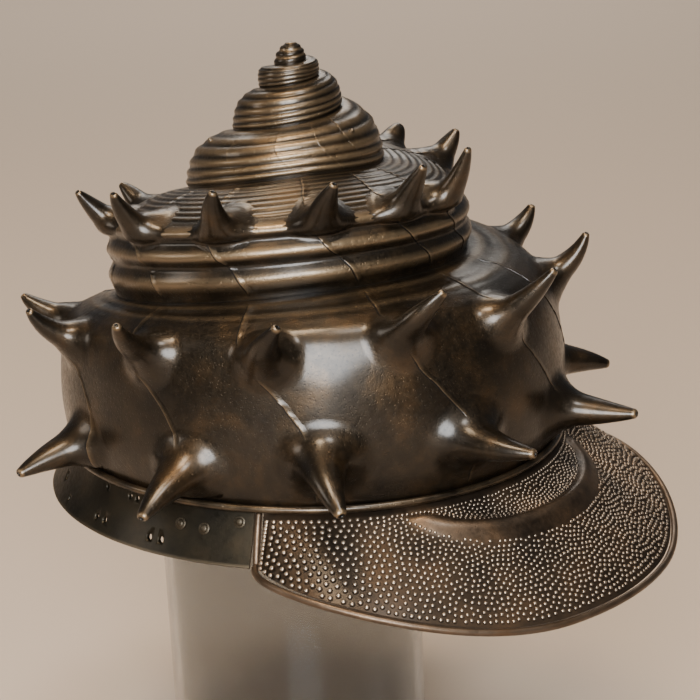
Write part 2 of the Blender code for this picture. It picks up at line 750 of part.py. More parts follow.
def stand_top(bowl):
    """The height at which the stand's top just meets the inside of the bowl."""
    mesh = bowl.data
    tree = BVHTree.FromPolygons(
        [vert.co for vert in mesh.vertices], [face.vertices[:] for face in mesh.polygons])
    lowest = RIM_ABOVE_FLOOR + BOWL_HEIGHT
    for k in range(4 * STAND_SIDES):
        angle = 2 * math.pi * k / (4 * STAND_SIDES)
        for radius in (STAND_RADIUS, STAND_RADIUS - STAND_WALL / 2, STAND_RADIUS - STAND_WALL):
            under = Vector((radius * math.cos(angle), radius * math.sin(angle), RIM_ABOVE_FLOOR))
            hit = tree.ray_cast(under, Vector((0.0, 0.0, 1.0)))[0]
            if hit is not None:
                lowest = min(lowest, hit.z)
    return lowest - GAP


def make_stand(top, finish):
    """A turned tube with a disc across its foot."""
    inner = STAND_RADIUS - STAND_WALL
    profile = [(STAND_RADIUS, 0.0), (STAND_RADIUS, top), (inner, top), (inner, STAND_FOOT)]
    points = []
    for radius, height in profile:
        for k in range(STAND_SIDES):
            angle = 2 * math.pi * k / STAND_SIDES
            points.append(Vector((radius * math.cos(angle), radius * math.sin(angle), height)))
    foot = list(range(STAND_SIDES))
    faces = [foot[::-1], [k + 3 * STAND_SIDES for k in foot]]
    for ring in range(3):
        for k in range(STAND_SIDES):
            n = (k + 1) % STAND_SIDES
            low = ring * STAND_SIDES
            faces.append([low + k, low + n, low + STAND_SIDES + n, low + STAND_SIDES + k])
    return new_object("stand", points, faces, finish)


def main():
    clear_scene()
    iron = material("russet iron", IRON, 0.85, 0.42)
    band_iron = material("waist band iron", BAND_IRON, 0.80, 0.52)
    visor_iron = material("visor iron", VISOR_IRON, 0.80, 0.45)
    clear = material("clear acrylic", CLEAR, 0.0, 0.05, 1.0)
    bowl = make_bowl(iron)
    make_horns(iron)
    make_bead(iron)
    make_band(band_iron)
    make_visor(visor_iron)
    make_visor_edge(visor_iron)
    make_rivets(band_iron, iron)
    make_stand(stand_top(bowl), clear)


main()
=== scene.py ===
import math
from collections import Counter

import bmesh
import bpy
import numpy as np
from mathutils import Matrix, Vector, noise
from mathutils.bvhtree import BVHTree


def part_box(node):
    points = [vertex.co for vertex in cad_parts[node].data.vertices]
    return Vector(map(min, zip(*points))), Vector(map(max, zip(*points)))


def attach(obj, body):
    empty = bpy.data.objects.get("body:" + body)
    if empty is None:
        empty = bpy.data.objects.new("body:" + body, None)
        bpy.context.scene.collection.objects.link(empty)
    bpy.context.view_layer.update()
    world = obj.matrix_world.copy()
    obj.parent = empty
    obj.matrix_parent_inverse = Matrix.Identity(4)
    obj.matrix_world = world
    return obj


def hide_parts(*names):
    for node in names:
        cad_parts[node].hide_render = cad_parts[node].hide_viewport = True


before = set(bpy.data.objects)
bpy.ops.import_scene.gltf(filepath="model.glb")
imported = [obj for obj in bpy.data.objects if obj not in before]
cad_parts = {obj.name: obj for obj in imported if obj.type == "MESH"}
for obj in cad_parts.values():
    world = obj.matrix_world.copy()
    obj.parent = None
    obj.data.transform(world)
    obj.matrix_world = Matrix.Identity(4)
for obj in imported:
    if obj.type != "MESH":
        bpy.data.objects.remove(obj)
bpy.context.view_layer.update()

# Bowl: a deep iron bowl hammered up as a spiral turban shell, from a small nub down to an oval foot.
# Round cords run along its upper whorls. It is rusted to an even brown and rubbed with oil, so the
# cords are worn brighter.
RIM_HALF_LENGTH = 0.1172
RIM_HALF_WIDTH = 0.1074
BOWL_HEIGHT = 0.1775
BOWL_WALL = 0.0020
SPIRE_AXIS = np.array([0.0020, 0.0020, 0.0])
RIM_CENTRE = np.array([0.0, -0.0174, 0.1950])
SPIRE_FOOT = RIM_CENTRE + SPIRE_AXIS
FIRST_AZIMUTH = 40.0
LAST_TURN = 1.875
SPIRE_RADIUS_RATIO = 1.85
SPIRE_HEIGHT_RATIO = 1.93
SUTURE_TURNS = 0.25
SUTURE_RADII = [0.307, 0.358, 0.414, 0.471, 0.577, 0.696, 0.768, 0.807, 0.860]
SUTURE_HEIGHTS = [0.735, 0.699, 0.710, 0.640, 0.546, 0.480, 0.470, 0.372, 0.230]
SECTIONS = {
    "nub out": [0.00, 0.60, 0.86, 0.99, 1.04, 1.06, 1.05, 1.03, 1.00],
    "nub down": [0.00, 0.03, 0.10, 0.22, 0.38, 0.55, 0.72, 0.87, 1.00],
    "spire out": [0.000, 0.320, 0.580, 0.770, 0.880, 0.940, 0.980, 0.995, 1.000],
    "spire down": [0.00, 0.07, 0.20, 0.34, 0.51, 0.66, 0.79, 0.90, 1.00],
    "fifth out": [0.000, 0.340, 0.680, 0.960, 0.985, 1.045, 1.020, 1.060, 1.000],
    "fifth down": [0.00, 0.06, 0.17, 0.31, 0.42, 0.55, 0.67, 0.81, 1.00],
    "body out": [0.000, 0.450, 0.760, 0.930, 1.040, 1.095, 1.110, 1.085, 1.000],
    "body down": [0.000, 0.045, 0.110, 0.210, 0.360, 0.520, 0.680, 0.840, 1.000],
}
ROWS_PER_TURN = 160
PLATE_LEAN_ROWS = 7
TIP_TURN = -3.25
HOLLOW_TURN = -1.5


def ease(x, low, high):
    share = np.clip((np.asarray(x, float) - low) / (high - low), 0.0, 1.0)
    return share * share * (3.0 - 2.0 * share)


def matched(one, other):
    return np.broadcast_arrays(np.asarray(one, float), np.asarray(other, float))


def smooth_through(values, place):
    values = np.asarray(values, float)
    last = len(values) - 1
    start = np.clip(np.floor(place).astype(int), 0, last - 1)
    t = place - start
    a, b = values[np.maximum(start - 1, 0)], values[start]
    c, d = values[start + 1], values[np.minimum(start + 2, last)]
    return b + 0.5 * t * (c - a + t * (2 * a - 5 * b + 4 * c - d + t * (3 * (b - c) + d - a)))


def up(height):
    return np.array([0.0, 0.0, height])


def outward(azimuth):
    angle = np.radians(azimuth)
    return np.stack([np.sin(angle), -np.cos(angle), 0.0 * angle], -1)


def foot_wall(azimuth, beyond=0.0):
    """A point of the bowl's wall at its foot, moved outwards by beyond."""
    direction = outward(azimuth)
    foot = direction * np.array([RIM_HALF_WIDTH, RIM_HALF_LENGTH, 0.0])
    normal = foot / np.array([RIM_HALF_WIDTH ** 2, RIM_HALF_LENGTH ** 2, 1.0])
    normal /= np.linalg.norm(normal, axis=-1, keepdims=True)
    return RIM_CENTRE + foot + normal * np.asarray(beyond)[..., None]


def foot_radius(azimuth):
    direction = outward(azimuth)[..., :2] / np.array([RIM_HALF_WIDTH, RIM_HALF_LENGTH])
    offset = SPIRE_AXIS[:2] / np.array([RIM_HALF_WIDTH, RIM_HALF_LENGTH])
    a = (direction ** 2).sum(-1)
    b = (direction * offset).sum(-1)
    return (np.sqrt(b * b - a * ((offset ** 2).sum() - 1.0)) - b) / a


def suture(turn):
    """Radius and height of the groove between whorls."""
    turn = np.asarray(turn, float)
    tight = np.minimum(turn, 0.0)
    radius = SUTURE_RADII[1] * RIM_HALF_WIDTH * SPIRE_RADIUS_RATIO ** tight
    height = BOWL_HEIGHT * (1.0 - (1.0 - SUTURE_HEIGHTS[1]) * SPIRE_HEIGHT_RATIO ** tight)
    dive_start = SUTURE_TURNS * (len(SUTURE_RADII) - 2)
    place = (np.clip(turn, 0.0, dive_start) + SUTURE_TURNS) / SUTURE_TURNS
    wide = turn >= 0.0
    radius = np.where(wide, RIM_HALF_WIDTH * smooth_through(SUTURE_RADII, place), radius)
    height = np.where(wide, BOWL_HEIGHT * smooth_through(SUTURE_HEIGHTS, place), height)
    share = np.clip((turn - dive_start) / (LAST_TURN - dive_start), 0.0, 1.0)
    dive = 0.5 * share + 0.5 * share * share
    radius = radius + (foot_radius(FIRST_AZIMUTH - 360.0 * turn) - radius) * dive
    return radius, height * (1.0 - dive)


def shell(turn, down):
    """The bowl's surface, down from 0 at the upper suture to 1 at the lower one."""
    turn, down = matched(turn, down)
    azimuth = FIRST_AZIMUTH - 360.0 * turn
    top_radius, top_height = suture(turn)
    low_radius, low_height = suture(turn + 1.0)
    at_foot = turn + 1.0 >= LAST_TURN
    low_radius = np.where(at_foot, foot_radius(azimuth), low_radius)
    low_height = np.where(at_foot, 0.0, low_height)
    place = down * (len(SECTIONS["body out"]) - 1)
    to_spire = ease(turn, -2.40, -1.80)
    to_fifth = ease(turn, -0.45, 0.15)
    to_body = ease(turn, 0.45, 1.00)
    shares = []
    for way in ("out", "down"):
        nub, spire, fifth, body = (
            smooth_through(SECTIONS[f"{part} {way}"], place) for part in ("nub", "spire", "fifth", "body"))
        high = nub + (spire - nub) * to_spire
        wide = fifth + (body - fifth) * to_body
        shares.append(high + (wide - high) * to_fifth)
    radius = top_radius + shares[0] * (low_radius - top_radius)
    height = top_height + shares[1] * (low_height - top_height)
    point = SPIRE_FOOT + outward(azimuth) * radius[..., None]
    point[..., 2] += height
    return point


def unit(vectors):
    return vectors / np.maximum(np.linalg.norm(vectors, axis=-1, keepdims=True), 1e-12)


def shell_frame(turn, down):
    """Directions along the whorl and down it, their lengths kept, and the outward normal."""
    step = 0.004
    along = (shell(turn + step, down) - shell(turn - step, down)) / (2 * step)
    low, high = np.maximum(down - step, 0.0), np.minimum(down + step, 1.0)
    across = (shell(turn, high) - shell(turn, low)) / np.asarray(high - low)[..., None]
    return along, across, unit(np.cross(along, across))


# plate edges, as rows of the shoulder whorl; every whorl repeats them under each other
PLATE_EDGES = np.array([-32.5, -20.0, -8.0, 17.3, 26.7, 38.7, 53.1, 66.2, 78.9, 94.0, 107.5])
FINE_RIBS = 9
FINE_RIB_HEIGHT = 0.00022
SPIRE_CORDS = [(0.075, 0.06, 0.012), (0.215, 0.07, 0.016), (0.365, 0.075, 0.019), (0.525, 0.08, 0.022),
               (0.695, 0.085, 0.024), (0.875, 0.085, 0.024)]
SHOULDER_CORDS = [(0.375, 0.060, 0.0006), (0.490, 0.060, -0.0007), (0.615, 0.070, 0.0006),
                  (0.745, 0.060, -0.0006), (0.870, 0.065, 0.0005), (0.965, 0.035, -0.0003)]
BODY_LINES = [(0.050, 0.022, 0.00022), (0.085, 0.020, -0.00022), (0.125, 0.025, 0.00018),
              (0.200, 0.04, -0.00015)]
# cord height at which the raised cords are fully worn lighter and the grooves between them fully darkened as
# painted shade
CORD_WEAR_AND_SHADE_HEIGHT = 0.0006


def swell(down, places):
    total = 0.0 * down
    for place, half, height in places:
        x = np.clip(np.abs(down - place) / half, 0.0, 1.0)
        total = total + height * (1.0 - x * x) ** 2
    return total


def wobble(points, size):
    """Smooth random waves of about the given size."""
    flat = np.asarray(points).reshape(-1, 3) / size
    return np.array([noise.noise(Vector(p)) for p in flat]).reshape(np.shape(points)[:-1])


def plate_lean(turn, down):
    """Share of the plate edges' lean reached at down: an S on the body, nearly straight above it."""
    body = ease(turn, 0.60, 1.00)
    low, high = 0.36 - 0.11 * body, 1.00 - 0.20 * body
    straight = np.clip((down - low) / (high - low), 0.0, 1.0)
    return straight + (ease(down, low, high) - straight) * (0.35 + 0.65 * body)


# the horns' seats: azimuth unwound along the whorls, seat in eighths of the section, then reach, rise
# and sideways lean of the tip as shares of the row's length
SHOULDER_HORNS = [
    (118, 3.0, 0.50, 0.60, 0.00), (90, 3.0, 0.46, 0.43, 0.00), (63, 3.0, 0.46, 0.60, 0.00),
    (6, 3.0, 0.57, 0.98, -0.06), (-15, 2.9, 0.62, 0.84, 0.06), (-42, 3.0, 0.60, 0.78, 0.18),
    (-72, 3.0, 0.56, 0.82, 0.18), (-103, 3.0, 0.58, 0.80, 0.12), (-132, 3.0, 0.60, 0.68, 0.10),
    (-171, 3.0, 0.60, 0.50, 0.00),
]
BODY_HORNS = [
    (-202, 3.0, 0.62, 0.66, 0.00), (-233, 3.0, 0.62, 0.66, 0.00), (-264, 3.0, 0.62, 0.66, 0.00),
    (-294, 3.0, 0.58, 0.58, 0.00), (-326, 3.0, 0.60, 0.70, 0.00), (-362, 2.8, 0.78, 0.76, 0.22),
    (-388, 2.6, 0.62, 0.72, 0.40), (-417, 3.0, 0.74, 0.66, 0.33), (-446, 2.9, 0.80, 0.64, 0.16),
    (-478, 3.0, 0.70, 0.58, 0.12), (-502, 3.0, 0.68, 0.44, -0.05), (-545, 3.0, 0.66, 0.50, 0.00),
]
RIM_HORNS = [
    (-286, 6.8, 0.90, -0.04, 0.00), (-310, 6.7, 0.92, -0.16, 0.00), (-345, 6.6, 1.08, 0.00, 0.02),
    (-376, 6.2, 1.00, 0.00, 0.24), (-406, 6.3, 1.02, -0.34, 0.14), (-436, 6.8, 1.00, -0.30, -0.08),
    (-472, 7.0, 0.98, -0.20, 0.12), (-532, 6.8, 0.96, -0.14, 0.00), (-564, 6.4, 0.92, -0.10, 0.00),
]
# each row's horns with their length, root radius and how high the bowl swells round them
HORN_ROWS = [
    ("shoulder", SHOULDER_HORNS, 0.0255, 0.0100, 0.0006),
    ("body", BODY_HORNS, 0.0305, 0.0110, 0.0010),
    ("rim", RIM_HORNS, 0.0350, 0.0138, 0.0012),
]
SWELL_SPREAD = 2.1
SEAT_PARTS = 8.0
horn_seats = []
for _, horns, _, root, lift in HORN_ROWS:
    for azimuth, seat, *_ in horns:
        seat_point = shell((FIRST_AZIMUTH - azimuth) / 360.0, seat / SEAT_PARTS)
        horn_seats.append((seat_point, root * SWELL_SPREAD, lift))


def skin_rise(turn, down):
    """How far cords, dents and the horns' swellings lift the bowl's surface, and the cords alone."""
    turn, down = matched(turn, down)
    points = shell(turn, down)
    spire_share = 1.0 - ease(turn, -0.45, 0.0)
    body_share = ease(turn, 0.60, 1.00)
    shoulder_share = (1.0 - spire_share) * (1.0 - body_share)
    drop = np.hypot(suture(turn)[0] - suture(turn + 1.0)[0], suture(turn)[1] - suture(turn + 1.0)[1])
    wander = 0.012 * wobble(points, 0.040)
    uneven = 1.0 + 0.35 * wobble(points, 0.016)
    cords = swell(down + 0.6 * wander, SPIRE_CORDS) * np.minimum(drop, 0.035) * spire_share
    cords = cords + swell(down, SHOULDER_CORDS) * shoulder_share
    cords = cords + swell(down + wander, BODY_LINES) * body_share
    ramp = ease(down, 0.015, 0.05) * (1.0 - ease(down, 0.29, 0.33))
    fine = np.sin(2 * np.pi * (FINE_RIBS * down / 0.31 + 0.5 * wobble(points, 0.055)))
    cords = (cords + FINE_RIB_HEIGHT * fine * ramp * shoulder_share) * uneven
    dents = 0.00030 * wobble(points, 0.030) + 0.00014 * wobble(points, 0.012)
    total = cords + dents * (0.25 + 0.75 * body_share)
    for centre, spread, lift in horn_seats:
        away = np.linalg.norm(points - centre, axis=-1) / spread
        total = total + lift * np.maximum(0.0, 1.0 - away * away) ** 2
    inside = ease(down, 0.0, 0.03) * (1.0 - ease(down, 0.97, 1.0))
    return total * inside, cords * inside


def ribbon(rows, downs, lean_rows, per_turn):
    """Numbers of the points of a spiral ribbon, its sutures shared, and where each point lies."""
    turns = (rows[:, None] - lean_rows * plate_lean(rows[:, None] / per_turn, downs[None])) / per_turn
    number = -np.ones(turns.shape, int)
    where = []
    end = None
    for i in range(len(rows)):
        for j in range(len(downs) - 1):
            if turns[i, j] >= LAST_TURN - 1e-9:
                if end is None:
                    end = len(where)
                    where.append((LAST_TURN, 0.0))
                number[i, j] = end
                continue
            number[i, j] = len(where)
            where.append((turns[i, j], downs[j]))
    for i in range(len(rows)):
        if turns[i, -1] >= LAST_TURN - 1e-9:
            number[i, -1] = end
        elif turns[i, -1] + 1.0 < LAST_TURN + 1e-9:
            number[i, -1] = number[i - lean_rows + per_turn, 0]
        else:
            number[i, -1] = len(where)
            where.append((turns[i, -1], 1.0))
    faces = []
    for i in range(len(rows) - 1):
        for j in range(len(downs) - 1):
            corners = [number[i, j], number[i, j + 1], number[i + 1, j + 1], number[i + 1, j]]
            corners = [int(c) for k, c in enumerate(corners) if c != corners[k - 1]]
            if len(set(corners)) > 2:
                faces.append(corners)
    loop = [int(number[i, 0]) for i in range(per_turn - lean_rows + 1)]
    loop += [int(number[0, j]) for j in range(len(downs) - 2, 0, -1)]
    return number, np.array(where), faces, loop


def new_object(name, data):
    piece = bpy.data.objects.new(name, data)
    bpy.context.scene.collection.objects.link(piece)
    return piece


def new_piece(name, points, faces, sharp_angle=None):
    mesh = bpy.data.meshes.new(name)
    mesh.from_pydata([tuple(map(float, p)) for p in points], [], faces)
    build = bmesh.new()
    build.from_mesh(mesh)
    bmesh.ops.recalc_face_normals(build, faces=build.faces)
    if build.calc_volume(signed=True) < 0.0:
        bmesh.ops.reverse_faces(build, faces=build.faces)
    build.to_mesh(mesh)
    build.free()
    mesh.shade_smooth()
    if sharp_angle:
        mesh.set_sharp_from_angle(angle=math.radians(sharp_angle))
    return new_object(name, mesh)


def mark_wear_and_painted_light(piece, values):
    layer = piece.data.attributes.new("wear_and_painted_light", "FLOAT", "POINT")
    layer.data.foreach_set("value", np.asarray(values, np.float32))


def finish_piece(piece, material, slot_name, *nodes):
    piece.data.materials.clear()
    piece.data.materials.append(material)
    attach(piece, "root")
    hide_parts(*nodes)


bowl_rows = np.arange(
    round(TIP_TURN * ROWS_PER_TURN), round(LAST_TURN * ROWS_PER_TURN) + PLATE_LEAN_ROWS + 1, dtype=float)
bowl_downs = np.concatenate([np.linspace(0.0, 0.33, 44, endpoint=False), np.linspace(0.33, 1.0, 37)])
_, bowl_where, bowl_faces, tip_loop = ribbon(bowl_rows, bowl_downs, PLATE_LEAN_ROWS, ROWS_PER_TURN)
turn, down = bowl_where[:, 0], bowl_where[:, 1]
shell_points = shell(turn, down)
bowl_normals = shell_frame(np.minimum(turn, LAST_TURN - 0.01), down)[2]
rise, cords = skin_rise(turn, down)
bowl_points = shell_points + bowl_normals * rise[:, None]

# the nub at the tip, a small knob turned in rings
NUB_RINGS = [(1.00, 0.08), (1.01, 0.16), (0.97, 0.25), (0.90, 0.31), (0.87, 0.35), (0.90, 0.42), (0.88, 0.51),
             (0.80, 0.58), (0.70, 0.62), (0.66, 0.67), (0.66, 0.74), (0.58, 0.82), (0.44, 0.87), (0.38, 0.91),
             (0.30, 0.97), (0.16, 1.00)]
tip = SPIRE_FOOT + up(BOWL_HEIGHT)
all_points = list(bowl_points)
ring = tip_loop
for share, lift in NUB_RINGS:
    next_ring = []
    for k in tip_loop:
        base = bowl_points[k]
        point = tip + (base - tip) * share
        point[2] = base[2] + (tip[2] - base[2]) * lift
        next_ring.append(len(all_points))
        all_points.append(point)
    for k in range(len(ring)):
        bowl_faces.append([ring[k - 1], ring[k], next_ring[k], next_ring[k - 1]])
    ring = next_ring
all_points.append(tip)
bowl_faces += [[ring[k - 1], ring[k], len(all_points) - 1] for k in range(len(ring))]

# the inner skin, one wall in, starting lower than the tip
INNER_PER_TURN = 80
inner_rows = np.arange(
    round(HOLLOW_TURN * INNER_PER_TURN), round(LAST_TURN * INNER_PER_TURN) + 1, dtype=float)
inner_number, inner_where, inner_faces, crown_loop = ribbon(
    inner_rows, np.linspace(0.0, 1.0, 13), 0, INNER_PER_TURN)
inner_shell = shell(inner_where[:, 0], inner_where[:, 1])
trial_skin = new_piece("trial_skin", inner_shell, inner_faces)
skin_normals = np.array([vert.normal for vert in trial_skin.data.vertices])
bpy.data.objects.remove(trial_skin, do_unlink=True)
probe = int(inner_number[len(inner_rows) // 2, 5])
if (skin_normals[probe] * (inner_shell[probe] - SPIRE_FOOT)).sum() < 0.0:
    skin_normals = -skin_normals
over_foot = inner_shell[:, 2] - RIM_CENTRE[2]
flat = unit(skin_normals * np.array([1.0, 1.0, 0.0]))
inner_points = inner_shell - np.where((over_foot < 1e-6)[:, None], flat, skin_normals) * BOWL_WALL
inner_points[:, 2] = np.maximum(inner_points[:, 2], RIM_CENTRE[2] + 0.4 * over_foot)
shift = len(all_points)
all_points += list(inner_points)
bowl_faces += [[c + shift for c in face] for face in inner_faces]
crown = SPIRE_FOOT + up(float(suture(HOLLOW_TURN)[1]) - BOWL_WALL)
all_points.append(crown)
bowl_faces += [[crown_loop[k - 1] + shift, crown_loop[k] + shift, len(all_points) - 1]
               for k in range(len(crown_loop))]

# the flat ring of the foot joins both skins
edge_uses = Counter(frozenset((face[k - 1], face[k])) for face in bowl_faces for k in range(len(face)))
foot_corners = {corner for edge, uses in edge_uses.items() if uses == 1 for corner in edge}


def by_angle(corners):
    """The corners sorted by their angle round the foot, the first one repeated at the end."""
    around = sorted((math.atan2(*(all_points[corner] - RIM_CENTRE)[1::-1]), corner) for corner in corners)
    return around + [(around[0][0] + 2 * math.pi, around[0][1])]


outer_foot = by_angle([corner for corner in foot_corners if corner < shift])
inner_foot = by_angle([corner for corner in foot_corners if corner >= shift])
foot_faces = []
i = j = 0
while i < len(outer_foot) - 1 or j < len(inner_foot) - 1:
    outer_next = i < len(outer_foot) - 1 and (
        j == len(inner_foot) - 1 or outer_foot[i + 1][0] <= inner_foot[j + 1][0])
    third = outer_foot[i + 1][1] if outer_next else inner_foot[j + 1][1]
    foot_faces.append([outer_foot[i][1], inner_foot[j][1], third])
    i, j = (i + 1, j) if outer_next else (i, j + 1)
bowl_shell = new_piece("bowl_shell", all_points, bowl_faces + foot_faces, 50)
wear_and_painted_light = np.zeros(len(all_points))
# the raised cords are worn lighter; the grooves between the cords and the groove between the whorls are
# painted darker as shade
groove = 1.0 - ease(down, 0.0, 0.03) + ease(down, 0.975, 1.0) * (turn + 1.0 < LAST_TURN)
wear_and_painted_light[:len(rise)] = np.clip(cords / CORD_WEAR_AND_SHADE_HEIGHT, -1.0, 1.0) - 1.1 * groove
for k, (share, lift) in enumerate(NUB_RINGS):
    first = len(rise) + k * len(tip_loop)
    wear_and_painted_light[first:first + len(tip_loop)] = 0.9 * math.cos(lift * 6.0 * math.pi)
mark_wear_and_painted_light(bowl_shell, wear_and_painted_light)


def fill(material, node, **values):
    """Puts numbers, or what other nodes give, into a node's sockets; an underscore is a space."""
    for name, value in values.items():
        socket = node.inputs[name.replace("_", " ")]
        if isinstance(value, bpy.types.NodeSocket):
            material.node_tree.links.new(value, socket)
        else:
            socket.default_value = value
    return node


def add_node(material, kind, **values):
    return fill(material, material.node_tree.nodes.new(kind), **values)


def mix_node(material, data_type, **values):
    node = material.node_tree.nodes.new("ShaderNodeMix")
    node.data_type = data_type
    return fill(material, node, **values).outputs["Result"]


def map_range(material, value, low, high, **values):
    node = add_node(material, "ShaderNodeMapRange", Value=value, From_Min=low, From_Max=high, **values)
    return node.outputs["Result"]


def set_surface(material, **values):
    fill(material, material.node_tree.nodes["Principled BSDF"], **values)


def new_material(name, **values):
    material = bpy.data.materials.new(name)
    material.use_nodes = True
    set_surface(material, **values)
    return material


def russet_iron(name, dark, mid, rust, bright_wear_and_highlight, roughness, pit_depth, oil):
    """Rust-browned iron: patches of dark and orange-brown, fine pits, and edges worn brighter. High values of
    the per-point attribute lighten worn spots and painted highlights; low values paint shade near-black and
    make it matt.
    """
    material = new_material(name, Metallic=0.85, IOR=1.5, Coat_Weight=oil, Coat_Roughness=0.22)
    place = add_node(material, "ShaderNodeTexCoord").outputs["Object"]
    patches = add_node(material, "ShaderNodeTexNoise", Vector=place, Scale=48.0, Detail=7.0, Roughness=0.62)
    brown = add_node(material, "ShaderNodeValToRGB", Fac=patches.outputs["Fac"])
    ramp = brown.color_ramp.elements
    ramp[0].position, ramp[0].color = 0.30, (*dark, 1.0)
    ramp[1].position, ramp[1].color = 0.72, (*rust, 1.0)
    ramp.new(0.50).color = (*mid, 1.0)

    worn = add_node(material, "ShaderNodeAttribute")
    worn.attribute_name = "wear_and_painted_light"
    # high attribute values lighten towards the bright colour: real wear on cords, edges and tips, and the
    # painted highlight on the plate lips
    wear_and_highlight = map_range(material, worn.outputs["Fac"], 0.0, 1.40)
    bright = mix_node(material, "RGBA", Factor=wear_and_highlight, A=brown.outputs["Color"], B=(*bright_wear_and_highlight, 1.0))
    # low attribute values are painted shade: the near-black colour darkens creases and grooves, the shadow
    # line beside each plate lip, the gaps between the visor's grains and the horns' tip dimples
    painted_shade = map_range(material, worn.outputs["Fac"], -0.55, -1.5, To_Max=0.92)
    colour = mix_node(material, "RGBA", Factor=painted_shade, A=bright, B=(0.004, 0.003, 0.002, 1.0))

    grain = add_node(material, "ShaderNodeTexNoise", Vector=place, Scale=420.0, Detail=5.0, Roughness=0.70)
    dull = map_range(
        material, grain.outputs["Fac"], 0.30, 0.70, To_Min=roughness - 0.12, To_Max=roughness + 0.14)
    matt = mix_node(material, "FLOAT", Factor=painted_shade, A=dull, B=0.75)

    pits = add_node(material, "ShaderNodeTexVoronoi", Vector=place, Scale=700.0)
    pitted = map_range(material, pits.outputs["Distance"], 0.05, 0.30)
    relief = mix_node(material, "FLOAT", Factor=0.65, A=pitted, B=grain.outputs["Fac"])
    bump = add_node(material, "ShaderNodeBump", Strength=0.7, Distance=pit_depth, Height=relief)
    set_surface(material, Base_Color=colour, Roughness=matt, Normal=bump.outputs["Normal"])
    return material


bowl_iron = russet_iron(
    "bowl_iron", dark=(0.006, 0.004, 0.002), mid=(0.018, 0.012, 0.006), rust=(0.050, 0.029, 0.012),
    bright_wear_and_highlight=(0.210, 0.145, 0.080), roughness=0.38, pit_depth=0.00045, oil=0.45)
finish_piece(bowl_shell, bowl_iron, "bowl_iron", "bowl")

# Horns: each lapped plate is drawn out into one hollow horn, with a wide trumpet foot that runs
# smoothly into the bowl and a blunt, dimpled tip. There is a row on the shoulder whorl, one on the
# body's shoulder and one just above the foot.
HORN_SIDES = 32
HORN_SKIRT = [(1.44, 0.0000), (1.36, 0.0016), (1.29, 0.0060), (1.22, 0.0135), (1.14, 0.0240), (1.07, 0.0385)]
HORN_ALONG = [0.056, 0.080, 0.110, 0.145, 0.190, 0.250, 0.320, 0.400, 0.480, 0.560, 0.640, 0.720, 0.800,
              0.870, 0.922, 0.946, 0.962, 0.972, 0.975, 0.970, 0.956]
HORN_WIDTH = [1.000, 0.905, 0.820, 0.750, 0.685, 0.620, 0.565, 0.520, 0.475, 0.430, 0.382, 0.330, 0.280,
              0.230, 0.187, 0.170, 0.148, 0.112, 0.072, 0.055, 0.045]
HORN_BREADTH = 1.12
HORN_THICKNESS = 0.90
HORN_CLEAR_SHARE = 0.30
HORN_BEND_SHARE = 0.52
BEAD_CLEARANCE = 0.0024


def sideways(azimuth):
    """The level direction to the right of someone who looks in at this azimuth."""
    return np.array([math.cos(math.radians(azimuth)), math.sin(math.radians(azimuth)), 0.0])


def spokes(first, second, sides, turned=0.0):
    """Spokes of a ring that goes round from the first direction to the second."""
    angles = (np.arange(sides) + turned) * 2 * np.pi / sides
    return np.cos(angles)[:, None] * first[..., None, :] + np.sin(angles)[:, None] * second[..., None, :]


def ring_faces(rings, sides, first=0, closed=False):
    """Quads between rings of points that follow each other, each ring closed round."""
    faces = []
    for ring in range(rings if closed else rings - 1):
        low, high = first + ring * sides, first + (ring + 1) % rings * sides
        for k in range(sides):
            n = (k + 1) % sides
            faces.append([low + k, low + n, high + n, high + k])
    return faces


def fan_faces(first, sides, middle):
    return [[first + k, first + (k + 1) % sides, middle] for k in range(sides)]


def skin(turn, down):
    """The bowl's finished surface with its cords and swellings, and the outward normal."""
    normal = shell_frame(turn, down)[2]
    return shell(turn, down) + normal * skin_rise(turn, down)[0][..., None], normal


def horn_mesh(azimuth, seat, reach, rise, sweep, length, root):
    turn = (FIRST_AZIMUTH - azimuth) / 360.0
    down = seat / SEAT_PARTS
    along, across, normal = shell_frame(turn, down)
    along_length, across_length = np.linalg.norm(along), np.linalg.norm(across)
    start = shell(turn, down)
    tip = start + length * (
        outward(azimuth) * reach + up(rise) + sideways(azimuth) * sweep)
    bend = start + normal * (HORN_BEND_SHARE * length)
    over_bead = RIM_CENTRE[2] + BEAD_CLEARANCE
    angles = np.arange(HORN_SIDES) * 2 * np.pi / HORN_SIDES
    rings = [(0.0, width, height) for width, height in HORN_SKIRT]
    rings += [(s, width, s) for s, width in zip(HORN_ALONG, HORN_WIDTH)]
    points, shares = [], []
    for s, width, height in rings:
        centre = start * (1 - s) ** 2 + bend * 2 * s * (1 - s) + tip * s ** 2
        heading = unit((bend - start) * (1 - s) + (tip - bend) * s)
        first = unit(along - heading * (along * heading).sum())
        second = across - heading * (across * heading).sum()
        second = unit(second - first * (second * first).sum())
        free = float(ease(s, 0.04, 0.30))
        beside = turn + HORN_BREADTH * width * root * np.cos(angles) / along_length
        below = np.clip(down + HORN_THICKNESS * width * root * np.sin(angles) / across_length, 0.015, 0.955)
        feet, foot_normals = skin(beside, below)
        seated = feet + foot_normals * (height * length + 0.00002)
        ring = spokes(first * HORN_BREADTH, second * HORN_THICKNESS, HORN_SIDES)
        ring_points = seated * (1 - free) + (centre + ring * (width * root)) * free
        if 0.02 < height < HORN_CLEAR_SHARE:
            ring_points[:, 2] = np.maximum(ring_points[:, 2], over_bead)
        points += list(ring_points)
        shares += [s] * HORN_SIDES
    end = (len(rings) - 1) * HORN_SIDES
    points += [(points[end] + points[end + HORN_SIDES // 2]) * 0.5, start - normal * 0.0006]
    shares += [1.0, 0.0]
    faces = ring_faces(len(rings), HORN_SIDES)
    faces += fan_faces(end, HORN_SIDES, len(points) - 2) + fan_faces(0, HORN_SIDES, len(points) - 1)
    return points, faces, shares


